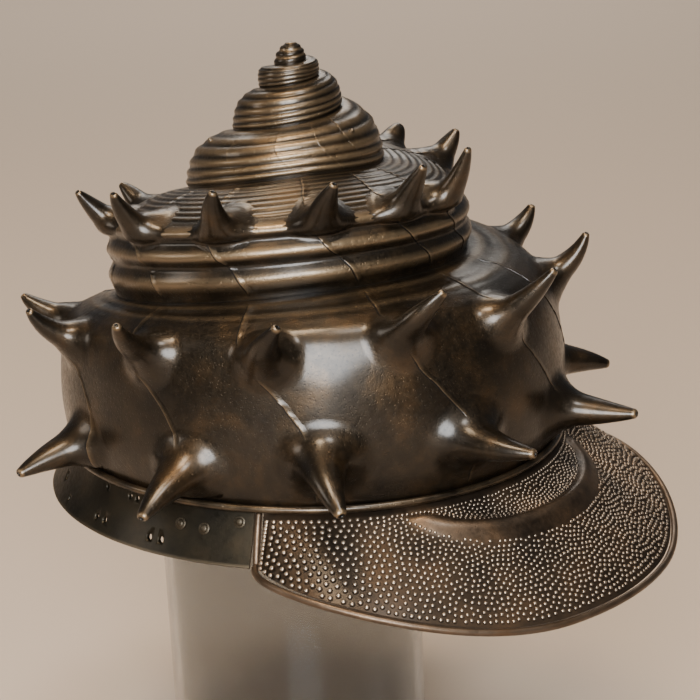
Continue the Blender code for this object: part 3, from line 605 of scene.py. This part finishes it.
cover_points, cover_faces = list(all_points), list(bowl_faces)
for row_name, horns, length, root, _ in HORN_ROWS:
    for k, horn in enumerate(horns):
        points, faces, shares = horn_mesh(*horn, length, root)
        cover_faces += [[corner + len(cover_points) for corner in face] for face in faces]
        cover_points += points
        horn_piece = new_piece(f"{row_name}_horn_{k + 1:02d}", points, faces, 70)
        shares = np.array(shares)
        # the dimple in the blunt tip is painted near-black as shade; a ring just below the tip is worn
        # lighter
        tip_dimple_shade = np.zeros(len(points))
        tip_dimple_shade[-2 - 3 * HORN_SIDES:-1] = 1.0
        horn_wear_and_shade = -0.35 * ease(shares, 0.03, 0.30) + 1.3 * ease(shares, 0.90, 0.96) - 3.0 * tip_dimple_shade
        mark_wear_and_painted_light(horn_piece, horn_wear_and_shade)
        finish_piece(horn_piece, bowl_iron, "bowl_iron", f"horn_{row_name}_{k + 1:02d}")

# Plate edges: each hammered plate laps over the next, and its thin edge stands up as a fine ragged
# lip of iron. A painted highlight lightens the lip's crest and a painted shadow line runs dark beside
# it. The lips run down the whorls from groove to groove and over the horns' feet.
LIP_SAMPLES = 130
LIP_SHORTEST_RUN = 8
LIP_FIRST_TURN = -1.30
LIP_CLIMB = 0.0060
LIP_ROOT_DEPTH = 0.0004
SPIRE_LAST_TURN = -0.4
SPIRE_LIP_SHARE = 0.35
PROBE_HEIGHT = 0.012
# the points across a lip: how far back over its plate, how high, and how much painted shadow darkens it or
# painted highlight lightens it
LIP_SECTION = [(-0.00060, 0.00002, -0.7), (-0.00035, 0.00003, -1.5), (0.00000, 0.00003, -1.7),
               (0.00008, 0.00026, -1.0), (0.00034, 0.00036, 0.6), (0.00110, 0.00022, 0.2),
               (0.00240, 0.00008, 0.0), (0.00400, -0.00012, 0.0)]

cover = BVHTree.FromPolygons([Vector(p) for p in cover_points], cover_faces)
edge_rows = np.concatenate([PLATE_EDGES + (ROWS_PER_TURN - PLATE_LEAN_ROWS) * k for k in range(-2, 3)])
edge_rows = edge_rows[
    (edge_rows > LIP_FIRST_TURN * ROWS_PER_TURN) & (edge_rows < LAST_TURN * ROWS_PER_TURN - 3)]
lip_points, lip_faces, lip_wear_and_painted_light = [], [], []
for edge_row in edge_rows:
    down = np.linspace(0.03, 0.97, LIP_SAMPLES)
    turn = (edge_row - PLATE_LEAN_ROWS * plate_lean(edge_row / ROWS_PER_TURN, down)) / ROWS_PER_TURN
    line = shell(turn, down)
    along, _, normal = shell_frame(turn, down)
    line = line - unit(along) * (0.0006 * wobble(line, 0.007))[:, None]
    ragged = 1.0 + 0.7 * wobble(line, 0.0022)
    cord_wear_and_shade = np.clip(skin_rise(turn, down)[1] / CORD_WEAR_AND_SHADE_HEIGHT, -1.0, 1.0)
    strength = SPIRE_LIP_SHARE if edge_row < SPIRE_LAST_TURN * ROWS_PER_TURN else 1.0
    spot_rings = []
    for i in range(LIP_SAMPLES):
        spots = []
        for offset, _, _ in LIP_SECTION:
            start = Vector(line[i] - unit(along[i]) * offset + normal[i] * PROBE_HEIGHT)
            hit = cover.ray_cast(start, Vector(-normal[i]), 2 * PROBE_HEIGHT)[0]
            if hit is None or (start - hit).length < PROBE_HEIGHT - LIP_CLIMB:
                break
            spots.append(np.array(hit))
        spot_rings.append(spots if len(spots) == len(LIP_SECTION) else None)
    i = 0
    while i < LIP_SAMPLES:
        run = i
        while run < LIP_SAMPLES and spot_rings[run] is not None:
            run += 1
        if run - i > LIP_SHORTEST_RUN:
            first = len(lip_points)
            ring_size = len(LIP_SECTION) + 2
            for n in range(i, run):
                fade = float(ease(min(n - i, run - 1 - n), -1.0, 6.0)) * strength
                for spot, (_, lift, painted_light_and_shade) in zip(spot_rings[n], LIP_SECTION):
                    lip_points.append(spot + normal[n] * (lift * ragged[n] * fade - 0.00004 * (1.0 - fade)))
                    lip_wear_and_painted_light.append(cord_wear_and_shade[n] + painted_light_and_shade * fade)
                # two root points under the skin close each section; they are painted dark like the shadow
                # line
                for spot in (spot_rings[n][-1], spot_rings[n][0]):
                    lip_points.append(spot - normal[n] * LIP_ROOT_DEPTH)
                    lip_wear_and_painted_light.append(-1.5)
            lip_faces += ring_faces(run - i, ring_size, first)
            lip_faces.append(list(range(first, first + ring_size))[::-1])
            lip_faces.append(list(range(len(lip_points) - ring_size, len(lip_points))))
        i = run + 1
plate_lips = new_piece("plate_lips", lip_points, lip_faces, 45)
mark_wear_and_painted_light(plate_lips, lip_wear_and_painted_light)
finish_piece(plate_lips, bowl_iron, "bowl_iron", "bowl")

# Rim bead: a round iron wire closes the foot of the bowl where it meets the band and the visor. It
# is hammered down tight all the way round and browned with the bowl.
BEAD_RADIUS = 0.0016
ROD_SIDES = 14
GAP = 0.0003


def round_rod(path, radius, closed):
    """Points and faces of a round rod along a path."""
    path = np.asarray(path, float)
    count = len(path)
    if closed:
        heading = unit(np.roll(path, -1, 0) - np.roll(path, 1, 0))
    else:
        heading = unit(np.gradient(path, axis=0))
    first = unit(np.cross(heading, up(1.0)) + 1e-9)
    second = np.cross(first, heading)
    rings = path[:, None] + radius * spokes(first, second, ROD_SIDES)
    points = list(rings.reshape(-1, 3))
    faces = ring_faces(count, ROD_SIDES, closed=closed)
    if not closed:
        for end, way in ((0, -1), (count - 1, 1)):
            points.append(path[end] + heading[end] * way * radius * 0.5)
            faces += fan_faces(end * ROD_SIDES, ROD_SIDES, len(points) - 1)
    return points, faces


bead_azimuths = np.linspace(0.0, 360.0, 288, endpoint=False)
bead_path = foot_wall(bead_azimuths, np.full(len(bead_azimuths), GAP + BEAD_RADIUS))
points, faces = round_rod(bead_path, BEAD_RADIUS, closed=True)
foot_bead = new_piece("foot_bead", points, faces)
mark_wear_and_painted_light(foot_bead, 0.15 + 0.35 * wobble(points, 0.008))
finish_piece(foot_bead, bowl_iron, "bowl_iron", "rim_bead")

# Waist band: a narrow flared skirt of thin iron behind the visor, riveted under the bowl's foot.
# Small lacing holes are punched through it, most of them in pairs.
BAND_DEPTH = 0.0225
BAND_FLARE = 0.0110
BAND_FLARE_POWER = 1.4
BAND_WALL = 0.0016
VISOR_HALF_ANGLE = 62.8
EDGE_RADIUS = 0.0017
EDGE_INSIDE = 0.00015
LACING_HOLES = [(-125, 0.56, 0.0022), (-118, 0.80, 0.0012), (-104, 0.76, 0.0014), (-103.5, 0.20, 0.0012),
                (-101, 0.76, 0.0014), (-95.3, 0.20, 0.0012), (-93, 0.20, 0.0012), (-87, 0.77, 0.0014),
                (-84, 0.77, 0.0014)]


def plate(grid, thickness):
    """A closed plate from a grid of points on its outer face."""
    rows, columns = grid.shape[:2]
    normal = unit(np.cross(np.gradient(grid, axis=0), np.gradient(grid, axis=1)))
    inner = grid - normal * thickness
    points = list(grid.reshape(-1, 3)) + list(inner.reshape(-1, 3))
    count = rows * columns
    faces = []
    for i in range(rows - 1):
        for j in range(columns - 1):
            a = i * columns + j
            quad = [a, a + 1, a + columns + 1, a + columns]
            faces.append(quad)
            faces.append([k + count for k in reversed(quad)])
    number = np.arange(count).reshape(rows, columns)
    border = [int(k) for k in (*number[0], *number[1:, -1], *number[-1, -2::-1], *number[-2:0:-1, 0])]
    faces += [[border[k], border[k - 1], border[k - 1] + count, border[k] + count]
              for k in range(len(border))]
    return points, faces, normal


def band_at(azimuth, depth):
    azimuth, depth = matched(azimuth, depth)
    foot = foot_wall(azimuth, BAND_FLARE * depth ** BAND_FLARE_POWER)
    foot[..., 2] -= GAP + BAND_DEPTH * depth
    return foot


mean_radius = (RIM_HALF_LENGTH + RIM_HALF_WIDTH) / 2
band_start = VISOR_HALF_ANGLE + math.degrees((EDGE_RADIUS + GAP) / mean_radius)
band_azimuths = np.linspace(band_start, 360.0 - band_start, 241)
band_depths = np.array([1.0, 0.985, 0.94, 0.85, 0.72, 0.58, 0.44, 0.30, 0.16, 0.05, 0.0])
band_grid = band_at(band_azimuths[:, None], band_depths[None])
dent = wobble(band_grid.reshape(-1, 3), 0.018).reshape(band_grid.shape[:2])
band_grid += outward(band_azimuths)[:, None] * (0.00018 * dent)[..., None]
points, faces, _ = plate(band_grid, BAND_WALL)
waist_skirt = new_piece("waist_skirt", points, faces, 45)
HOLE_SIDES = 16
cutter_points, cutter_faces = [], []
for hole_azimuth, depth, radius in LACING_HOLES:
    for azimuth in (hole_azimuth, -hole_azimuth):
        centre, axis = band_at(azimuth, depth), outward(azimuth)
        first = len(cutter_points)
        ring = spokes(sideways(azimuth), up(1.0), HOLE_SIDES) * radius
        for reach in (-2 * BAND_WALL, 2 * BAND_WALL):
            cutter_points += list(centre + axis * reach + ring)
        cutter_faces += ring_faces(2, HOLE_SIDES, first)
        cutter_faces.append(list(range(first, first + HOLE_SIDES))[::-1])
        cutter_faces.append(list(range(first + HOLE_SIDES, first + 2 * HOLE_SIDES)))
hole_cutter = new_piece("hole_cutter", cutter_points, cutter_faces)
cut = waist_skirt.modifiers.new("lacing holes", "BOOLEAN")
cut.operation = "DIFFERENCE"
cut.solver = "EXACT"
cut.object = hole_cutter
bpy.context.view_layer.update()
cut_mesh = bpy.data.meshes.new_from_object(waist_skirt.evaluated_get(bpy.context.evaluated_depsgraph_get()))
waist_skirt.modifiers.clear()
waist_skirt.data = cut_mesh
bpy.data.objects.remove(hole_cutter, do_unlink=True)
below_foot = np.array([RIM_CENTRE[2] - vert.co.z for vert in cut_mesh.vertices])
mark_wear_and_painted_light(waist_skirt, -0.25 + ease(below_foot, BAND_DEPTH * 0.94, BAND_DEPTH))
band_iron = russet_iron(
    "band_iron", dark=(0.006, 0.005, 0.003), mid=(0.014, 0.011, 0.006), rust=(0.030, 0.021, 0.011),
    bright_wear_and_highlight=(0.110, 0.085, 0.055), roughness=0.48, pit_depth=0.00012, oil=0.08)
finish_piece(waist_skirt, band_iron, "band_iron", "waist_band")

# Rivets: round-headed iron rivets with a flat washer fix the band, three on each side of the visor.
# Two tiny studs of the same kind sit high on the spire.
BAND_RIVETS = [(-80.2, 0.43), (-74.5, 0.45), (-66.8, 0.27)]
SPIRE_STUDS = [(-0.54, 0.22), (-0.87, 0.34)]
HEAD_PROFILE = [(1.00, -0.30), (1.00, 0.10), (0.93, 0.24), (0.76, 0.26), (0.70, 0.30), (0.64, 0.56),
                (0.48, 0.84), (0.26, 0.97)]
HEAD_SIDES = 24
RIVET_RADIUS = 0.0026
RIVET_HEIGHT = 0.0011
STUD_RADIUS = 0.0013


def rivet_head(seat, normal, radius, height):
    first = unit(np.cross(normal, np.array([0.3, 0.1, 1.0])))
    second = np.cross(normal, first)
    points = []
    for spread, lift in HEAD_PROFILE:
        points += list(seat + normal * height * lift + spokes(first, second, HEAD_SIDES) * radius * spread)
    points += [seat - normal * height * 0.30, seat + normal * height]
    faces = ring_faces(len(HEAD_PROFILE), HEAD_SIDES) + fan_faces(0, HEAD_SIDES, len(points) - 2)
    faces += fan_faces((len(HEAD_PROFILE) - 1) * HEAD_SIDES, HEAD_SIDES, len(points) - 1)
    return points, faces


count = 0
for rivet_azimuth, depth in BAND_RIVETS:
    for azimuth in (rivet_azimuth, -rivet_azimuth):
        count += 1
        seat, below = band_at(azimuth, depth), band_at(azimuth, depth + 0.1)
        normal = unit(np.cross(below - seat, sideways(azimuth)))
        if (normal * outward(azimuth)).sum() < 0.0:
            normal = -normal
        points, faces = rivet_head(seat + normal * GAP, normal, RIVET_RADIUS, RIVET_HEIGHT)
        head = new_piece(f"waist_rivet_{count}", points, faces, 40)
        mark_wear_and_painted_light(head, [0.35] * len(points))
        finish_piece(head, band_iron, "band_iron", f"band_rivet_{count}")
for k, (stud_turn, stud_down) in enumerate(SPIRE_STUDS):
    seat, normal = shell(stud_turn, stud_down), shell_frame(stud_turn, stud_down)[2]
    points, faces = rivet_head(seat + normal * 2 * GAP, normal, STUD_RADIUS, STUD_RADIUS)
    stud = new_piece(f"crest_stud_{k + 1}", points, faces, 40)
    mark_wear_and_painted_light(stud, [0.5] * len(points))
    finish_piece(stud, bowl_iron, "bowl_iron", f"spire_stud_{k + 1}")

# Visor: a drooping peak of thicker iron with a smooth raised crescent over the brow. All the rest of
# its face is covered with small round grains, punched up close together and worn bright on top.
VISOR_MID_REACH = 0.0585
VISOR_END_REACH = 0.0090
VISOR_MID_DROP = 0.0435
VISOR_END_DROP = 0.0230
VISOR_COLLAR = 0.0026
VISOR_WALL = 0.0016
VISOR_OUTLINE_POWER = 1.95
VISOR_DROOP_SHARE = 0.28
VISOR_LEVEL_SHARE = 0.20
CRESCENT_HALF_LENGTH = 0.0600
CRESCENT_REACH = 0.0220
CRESCENT_HEIGHT = 0.0052
CRESCENT_WIDTH = 0.0050
CRESCENT_END_SHARE = 0.35
CRESCENT_DISH = 0.0016
CRESCENT_FROM_BOWL = 0.0045
VISOR_FAN_OUT = 0.8


def crescent_place(arc, reach):
    """Distance from the crescent's crest line in widths, negative inside it, and the taper there."""
    end = np.minimum(np.abs(arc) / CRESCENT_HALF_LENGTH, 1.0)
    taper = 1.0 - (1.0 - CRESCENT_END_SHARE) * end * end
    ring = np.hypot(arc / CRESCENT_HALF_LENGTH, reach / CRESCENT_REACH)
    return (ring - 1.0) * CRESCENT_REACH / (CRESCENT_WIDTH * taper), taper, ring


def crescent_relief(arc, reach):
    away, taper, ring = crescent_place(arc, reach)
    rise = CRESCENT_HEIGHT * taper * np.exp(-away * away)
    dish = CRESCENT_DISH * np.maximum(0.0, 1.0 - ring * ring)
    bead = 2 * BEAD_RADIUS + GAP
    return (rise - dish) * ease(reach, bead, bead + CRESCENT_WIDTH)


def visor_at(side, share, inset=0.0):
    """side runs from -1 to 1 across the visor, share from 0 at the bowl to 1 at the edge."""
    side, share = matched(side, share)
    azimuth = side * (VISOR_HALF_ANGLE - math.degrees(inset / mean_radius))
    power = VISOR_OUTLINE_POWER
    fan = np.maximum(1.0 - np.abs(side) ** power, 0.0) ** (1.0 / power)
    reach = VISOR_END_REACH + (VISOR_MID_REACH - VISOR_END_REACH) * fan
    middle = 1.0 - ease(np.abs(side), VISOR_LEVEL_SHARE, 1.0)
    drop = VISOR_END_DROP + (VISOR_MID_DROP - VISOR_END_DROP) * middle
    slope = np.hypot(reach, drop)
    reach, drop = reach * (slope - inset) / slope, drop * (slope - inset) / slope
    fall = share * (1.0 - VISOR_DROOP_SHARE + VISOR_DROOP_SHARE * share)
    arc = np.radians(azimuth) * mean_radius
    height = -VISOR_COLLAR - (drop - VISOR_COLLAR) * fall + crescent_relief(arc, reach * share)
    point = foot_wall(azimuth) + outward(azimuth) * (reach * share)[..., None]
    point[..., 2] += height
    return point, arc, reach * share, slope


visor_inset = EDGE_RADIUS + GAP
visor_sides = np.sin(np.pi / 2 * np.linspace(-1.0, 1.0, 181))
visor_shares = np.linspace(1.0, 0.0, 61)
visor_grid, visor_arc, visor_reach, _ = visor_at(visor_sides[:, None], visor_shares[None], visor_inset)
collar = visor_grid[:, -1:] + up(VISOR_COLLAR - GAP)
points, faces, _ = plate(np.concatenate([visor_grid, collar], 1), VISOR_WALL)
peak_plate = new_piece("peak_plate", points, faces, 50)
away = crescent_place(visor_arc, visor_reach)[0]
smooth_part = ease(away, -1.35, -0.85) * (1.0 - ease(away, 1.0, 1.6))
crest = np.exp(-2.5 * away * away) * 0.55
collar_wear = np.full((len(visor_sides), 1), -0.3)
# the pearled field between the grains is painted darker as shade between them; the smooth crescent keeps its
# plain colour and its crest is worn slightly lighter
face_wear_and_shade = np.concatenate([smooth_part * (0.75 + crest) - 1.05, collar_wear], 1).reshape(-1)
mark_wear_and_painted_light(peak_plate, np.concatenate([face_wear_and_shade, np.full(len(face_wear_and_shade), -0.3)]))
visor_iron = russet_iron(
    "visor_iron", dark=(0.022, 0.015, 0.010), mid=(0.055, 0.036, 0.022), rust=(0.105, 0.062, 0.033),
    bright_wear_and_highlight=(0.200, 0.140, 0.095), roughness=0.42, pit_depth=0.00012, oil=0.12)
finish_piece(peak_plate, visor_iron, "visor_iron", "visor")

# the grains are set close, each its own size's distance from the next, finer inside the crescent
GRAIN_SPACING = {"hollow": 0.00205, "crescent": 0.00215, "front": 0.00245, "ends": 0.00320}
GRAIN_FROM_BOWL = 0.0048
GRAIN_FROM_EDGE = 0.0043
GRAIN_SIDES = 8
GRAIN_HEIGHT_SHARE = 0.80


def grain_spacing(azimuth, away):
    to_end = ease(np.abs(azimuth), 22.0, 50.0)
    open_face = GRAIN_SPACING["front"] + (GRAIN_SPACING["ends"] - GRAIN_SPACING["front"]) * to_end
    near = 1.0 - ease(away, 1.0, 4.5)
    beside = GRAIN_SPACING["crescent"] + (open_face - GRAIN_SPACING["crescent"]) * (1.0 - near)
    return np.where(away < 0.0, GRAIN_SPACING["hollow"], beside)


def inside_visor(azimuth, slope_reach):
    """Spots moved onto the pearled face: off the crescent and clear of the visor's border."""
    azimuth = np.clip(azimuth, 2.0 - VISOR_HALF_ANGLE, VISOR_HALF_ANGLE - 2.0)
    side = azimuth / VISOR_HALF_ANGLE
    slope = visor_at(side, 0.0)[3]
    slope_reach = np.clip(slope_reach, GRAIN_FROM_BOWL, slope - GRAIN_FROM_EDGE)
    for _ in range(3):
        _, arc, across, _ = visor_at(side, slope_reach / slope)
        away, taper, ring = crescent_place(arc, across)
        width = CRESCENT_WIDTH * taper / CRESCENT_REACH
        goal = np.where(away < 0.1, 1.0 - 0.95 * width, 1.0 + 1.2 * width)
        on_crescent = (away > -0.95) & (away < 1.2) & (across > CRESCENT_FROM_BOWL)
        straight = np.maximum(goal * goal - (arc / CRESCENT_HALF_LENGTH) ** 2, 0.0)
        wanted = CRESCENT_REACH * np.sqrt(straight)
        slope_reach = np.where(on_crescent, slope_reach * wanted / np.maximum(across, 1e-4), slope_reach)
        slope_reach = np.clip(slope_reach, GRAIN_FROM_BOWL, slope - GRAIN_FROM_EDGE)
    _, arc, across, _ = visor_at(side, slope_reach / slope)
    return azimuth, slope_reach, slope, crescent_place(arc, across)[0]


chance = np.random.RandomState(7)
tries = 60000
azimuth = chance.uniform(-VISOR_HALF_ANGLE, VISOR_HALF_ANGLE, tries)
slope_reach = chance.uniform(0.004, 0.074, tries)
slope = visor_at(azimuth / VISOR_HALF_ANGLE, 0.0)[3]
wide_enough = chance.uniform(0, 1, tries) < (mean_radius + VISOR_FAN_OUT * slope_reach) / 0.18
kept = (slope_reach < slope - 0.004) & wide_enough
azimuth, slope_reach, slope = azimuth[kept], slope_reach[kept], slope[kept]
_, arc, across, _ = visor_at(azimuth / VISOR_HALF_ANGLE, slope_reach / slope)
away = crescent_place(arc, across)[0]
spacing = grain_spacing(azimuth, away)
# a first spread with at least three quarters of the spacing, then pushed apart to an even one
flat_x, flat_y = np.radians(azimuth) * (mean_radius + VISOR_FAN_OUT * slope_reach), slope_reach
chosen = []
cells = {}
for k in range(len(azimuth)):
    if (-0.9 < away[k] < 1.15) and across[k] > CRESCENT_FROM_BOWL:
        continue
    cell = (int(flat_x[k] // 0.0035), int(flat_y[k] // 0.0035))
    near = [n for i in (-1, 0, 1) for j in (-1, 0, 1) for n in cells.get((cell[0] + i, cell[1] + j), ())]
    if all(math.hypot(flat_x[k] - flat_x[n], flat_y[k] - flat_y[n]) > 0.80 * min(spacing[k], spacing[n])
           for n in near):
        chosen.append(k)
        cells.setdefault(cell, []).append(k)
azimuth, slope_reach = azimuth[chosen], slope_reach[chosen]
for _ in range(40):
    azimuth, slope_reach, slope, away = inside_visor(azimuth, slope_reach)
    spacing = grain_spacing(azimuth, away)
    span = mean_radius + VISOR_FAN_OUT * slope_reach
    order = np.argsort(azimuth)
    azimuth, slope_reach, spacing, span = azimuth[order], slope_reach[order], spacing[order], span[order]
    push = np.zeros((len(azimuth), 2))
    for skip in range(1, 130):
        dx = np.radians(azimuth[skip:] - azimuth[:-skip]) * 0.5 * (span[skip:] + span[:-skip])
        dy = slope_reach[skip:] - slope_reach[:-skip]
        apart = np.hypot(dx, dy) + 1e-9
        wanted = 0.54 * (spacing[skip:] + spacing[:-skip])
        force = 0.32 * np.maximum(0.0, 1.0 - apart / wanted) * wanted / apart
        shove = np.stack([force * dx, force * dy], 1)
        push[skip:] += shove
        push[:-skip] -= shove
        if float(dx.min()) > 0.0040:
            break
    azimuth = azimuth + np.degrees(push[:, 0] / span)
    slope_reach = slope_reach + push[:, 1]
azimuth, slope_reach, slope, away = inside_visor(azimuth, slope_reach)
spacing = grain_spacing(azimuth, away)
side, share, step = azimuth / VISOR_HALF_ANGLE, slope_reach / slope, 0.0025
spot = visor_at(side, share)[0]
along = unit(visor_at(side + step, share)[0] - visor_at(side - step, share)[0])
outwards = visor_at(side, share + step)[0] - visor_at(side, share - step)[0]
second = unit(outwards - along * (along * outwards).sum(-1, keepdims=True))
normal = np.cross(along, second)
normal *= np.where(normal[:, 2:] < 0.0, -1.0, 1.0)
grain_radius = (0.395 * spacing * chance.uniform(0.90, 1.08, len(spacing)))[:, None]
grain_height = grain_radius * GRAIN_HEIGHT_SHARE
ring = spokes(along, second, GRAIN_SIDES, 0.5)
rows = [(spot + normal * grain_height * lift)[:, None] + (grain_radius * spread)[:, None] * ring
        for spread, lift in ((1.00, -0.20), (0.93, 0.34), (0.62, 0.80))]
grain_points = np.concatenate(rows + [(spot + normal * grain_height)[:, None]], 1)
per_grain = grain_points.shape[1]
grain_points = grain_points.reshape(-1, 3)
grain_faces = []
for first in range(0, len(grain_points), per_grain):
    grain_faces += ring_faces(3, GRAIN_SIDES, first)
    grain_faces += fan_faces(first + 2 * GRAIN_SIDES, GRAIN_SIDES, first + per_grain - 1)
    grain_faces.append([first + k for k in range(GRAIN_SIDES - 1, -1, -1)])
peak_grains = new_piece("peak_grains", grain_points, grain_faces)
# each grain's foot is painted dark as shade between the grains; its top is worn lighter
grain_wear_and_shade = np.repeat([-1.2, -0.4, 0.8, 1.2], [GRAIN_SIDES, GRAIN_SIDES, GRAIN_SIDES, 1])
mark_wear_and_painted_light(peak_grains, np.tile(grain_wear_and_shade, len(grain_points) // per_grain))
grain_iron = russet_iron(
    "grain_iron", dark=(0.040, 0.028, 0.018), mid=(0.080, 0.055, 0.036), rust=(0.140, 0.090, 0.055),
    bright_wear_and_highlight=(0.360, 0.290, 0.220), roughness=0.30, pit_depth=0.00004, oil=0.40)
finish_piece(peak_grains, grain_iron, "visor_iron", "visor")

# Visor edge: the visor's free edge is bound with a rolled iron rod, down one end, round the front
# and up the other. It is browned like the visor.
end_shares = np.linspace(0.0, 1.0, 18, endpoint=False)
edge_path = [visor_at(-1.0, share)[0] for share in end_shares]
edge_path += [visor_at(side, 1.0)[0] for side in np.sin(np.pi / 2 * np.linspace(-1.0, 1.0, 181))]
edge_path += [visor_at(1.0, share)[0] for share in end_shares[::-1]]
points, faces = round_rod(edge_path, EDGE_RADIUS - EDGE_INSIDE, closed=False)
peak_binding = new_piece("peak_binding", points, faces)
mark_wear_and_painted_light(peak_binding, 0.25 + 0.4 * wobble(points, 0.008))
finish_piece(peak_binding, visor_iron, "visor_iron", "visor_edge")

# Stand: a plain tube of clear acrylic with polished ends and a glued disc across its foot. The bowl
# rests on its top edge.
STAND_RADIUS = 0.0620
STAND_WALL = 0.0040
STAND_FOOT = 0.0050
STAND_SIDES = 128
stand_top = float(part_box("stand")[1][2])
inner_radius = STAND_RADIUS - STAND_WALL
round_off = 0.0006
profile = [(STAND_RADIUS - round_off, 0.0), (STAND_RADIUS, round_off), (STAND_RADIUS, stand_top - round_off),
           (STAND_RADIUS - round_off, stand_top), (inner_radius + round_off, stand_top),
           (inner_radius, stand_top - round_off), (inner_radius, STAND_FOOT + round_off),
           (inner_radius - round_off, STAND_FOOT)]
points = [np.array([0.0, 0.0, 0.0]), up(STAND_FOOT)]
ring = spokes(np.array([1.0, 0.0, 0.0]), np.array([0.0, 1.0, 0.0]), STAND_SIDES)
for radius, height in profile:
    points += list(ring * radius + up(height))
faces = ring_faces(len(profile), STAND_SIDES, 2) + fan_faces(2, STAND_SIDES, 0)
faces += fan_faces(2 + (len(profile) - 1) * STAND_SIDES, STAND_SIDES, 1)
clear_tube = new_piece("clear_tube", points, faces, 30)
# the grey tint in the base colour darkens the clear tube as painted shade, for the helmet's shadow seen
# through it
clear_acrylic = new_material(
    "clear_acrylic", Base_Color=(0.50, 0.52, 0.53, 1.0), Transmission_Weight=1.0, IOR=1.49)
place = add_node(clear_acrylic, "ShaderNodeTexCoord").outputs["Object"]
scuffs = add_node(clear_acrylic, "ShaderNodeTexNoise", Vector=place, Scale=90.0, Detail=4.0)
haze = map_range(clear_acrylic, scuffs.outputs["Fac"], 0.45, 0.80, To_Min=0.02, To_Max=0.12)
set_surface(clear_acrylic, Roughness=haze)
finish_piece(clear_tube, clear_acrylic, "clear_acrylic", "stand")

# Room: a wide pale floor, five round soft lights and a soft sun, and the camera that the picture was
# taken with, a little above the visor.
FLOOR_HALF = 14.0
floor_mesh = bpy.data.meshes.new("studio_floor")
floor_mesh.from_pydata([(-FLOOR_HALF, -FLOOR_HALF, 0), (FLOOR_HALF, -FLOOR_HALF, 0),
                        (FLOOR_HALF, FLOOR_HALF, 0), (-FLOOR_HALF, FLOOR_HALF, 0)], [], [[0, 1, 2, 3]])
floor_mesh.materials.append(
    new_material("floor_paint", Base_Color=(0.375, 0.300, 0.236, 1.0), Roughness=0.9))
studio_floor = new_object("studio_floor", floor_mesh)

world = bpy.data.worlds.new("studio")
world.use_nodes = True
fill(world, world.node_tree.nodes["Background"], Color=(0.86, 0.88, 0.92, 1.0), Strength=0.10)
bpy.context.scene.world = world

CAMERA_PLACE = Vector((-0.6423, -0.5957, 0.4959))
HEADING = math.radians(-49.29)
PITCH = math.radians(17.18)
ROLL = math.radians(-2.65)
ahead = Vector((-math.sin(HEADING), math.cos(HEADING), 0.0))
forward = ahead * math.cos(PITCH) - Vector((0.0, 0.0, math.sin(PITCH)))
level = forward.cross(Vector((0.0, 0.0, 1.0))).normalized()
upright = level.cross(forward)
right = level * math.cos(ROLL) + upright * math.sin(ROLL)
above = upright * math.cos(ROLL) - level * math.sin(ROLL)
camera_data = bpy.data.cameras.new("camera")
camera_data.lens = 100.02
camera_data.sensor_width = 36.0
camera_data.clip_start = 0.05
camera_data.clip_end = 60.0
camera = new_object("camera", camera_data)
turned = Matrix((right, above, -forward)).transposed().to_4x4()
camera.matrix_world = Matrix.Translation(CAMERA_PLACE) @ turned
bpy.context.scene.camera = camera

LIGHTS_MEET = Vector((0.0, -0.02, 0.24))


def soft_light(name, to_right, to_camera, height, size, power, colour):
    """A round soft light, placed as seen from the camera, aimed at the bowl."""
    data = bpy.data.lights.new(name, "AREA")
    data.shape = "DISK"
    data.size = size
    data.energy = power
    data.color = colour
    lamp = new_object(name, data)
    lamp.location = level * to_right - ahead * to_camera + Vector((0.0, 0.0, height))
    aim = LIGHTS_MEET - lamp.location
    lamp.rotation_euler = aim.to_track_quat("-Z", "Y").to_euler()
    return lamp


soft_light("key", -0.12, 1.60, 0.92, 1.05, 78.0, (0.96, 0.98, 1.0))
soft_light("top", -0.25, 0.3, 1.9, 0.5, 28.0, (1.0, 0.76, 0.50))
soft_light("left", -1.5, 0.2, 0.9, 0.6, 6.0, (1.0, 0.90, 0.78))
soft_light("back", -0.2, -1.3, 1.7, 0.5, 8.0, (1.0, 0.76, 0.50))
floor_wash = soft_light("floor wash", 0.0, -3.6, 2.3, 2.6, 72.0, (1.0, 0.95, 0.88))
floor_wash.rotation_euler = (0.0, 0.0, 0.0)
sun_data = bpy.data.lights.new("room", "SUN")
sun_data.angle = math.radians(14.0)
sun_data.energy = 1.6
sun_data.color = (1.0, 0.94, 0.86)
sun = new_object("room", sun_data)
sun_way = -level * 0.20 + ahead * 0.30 + Vector((0.0, 0.0, -1.0))
sun.rotation_euler = sun_way.to_track_quat("-Z", "Y").to_euler()
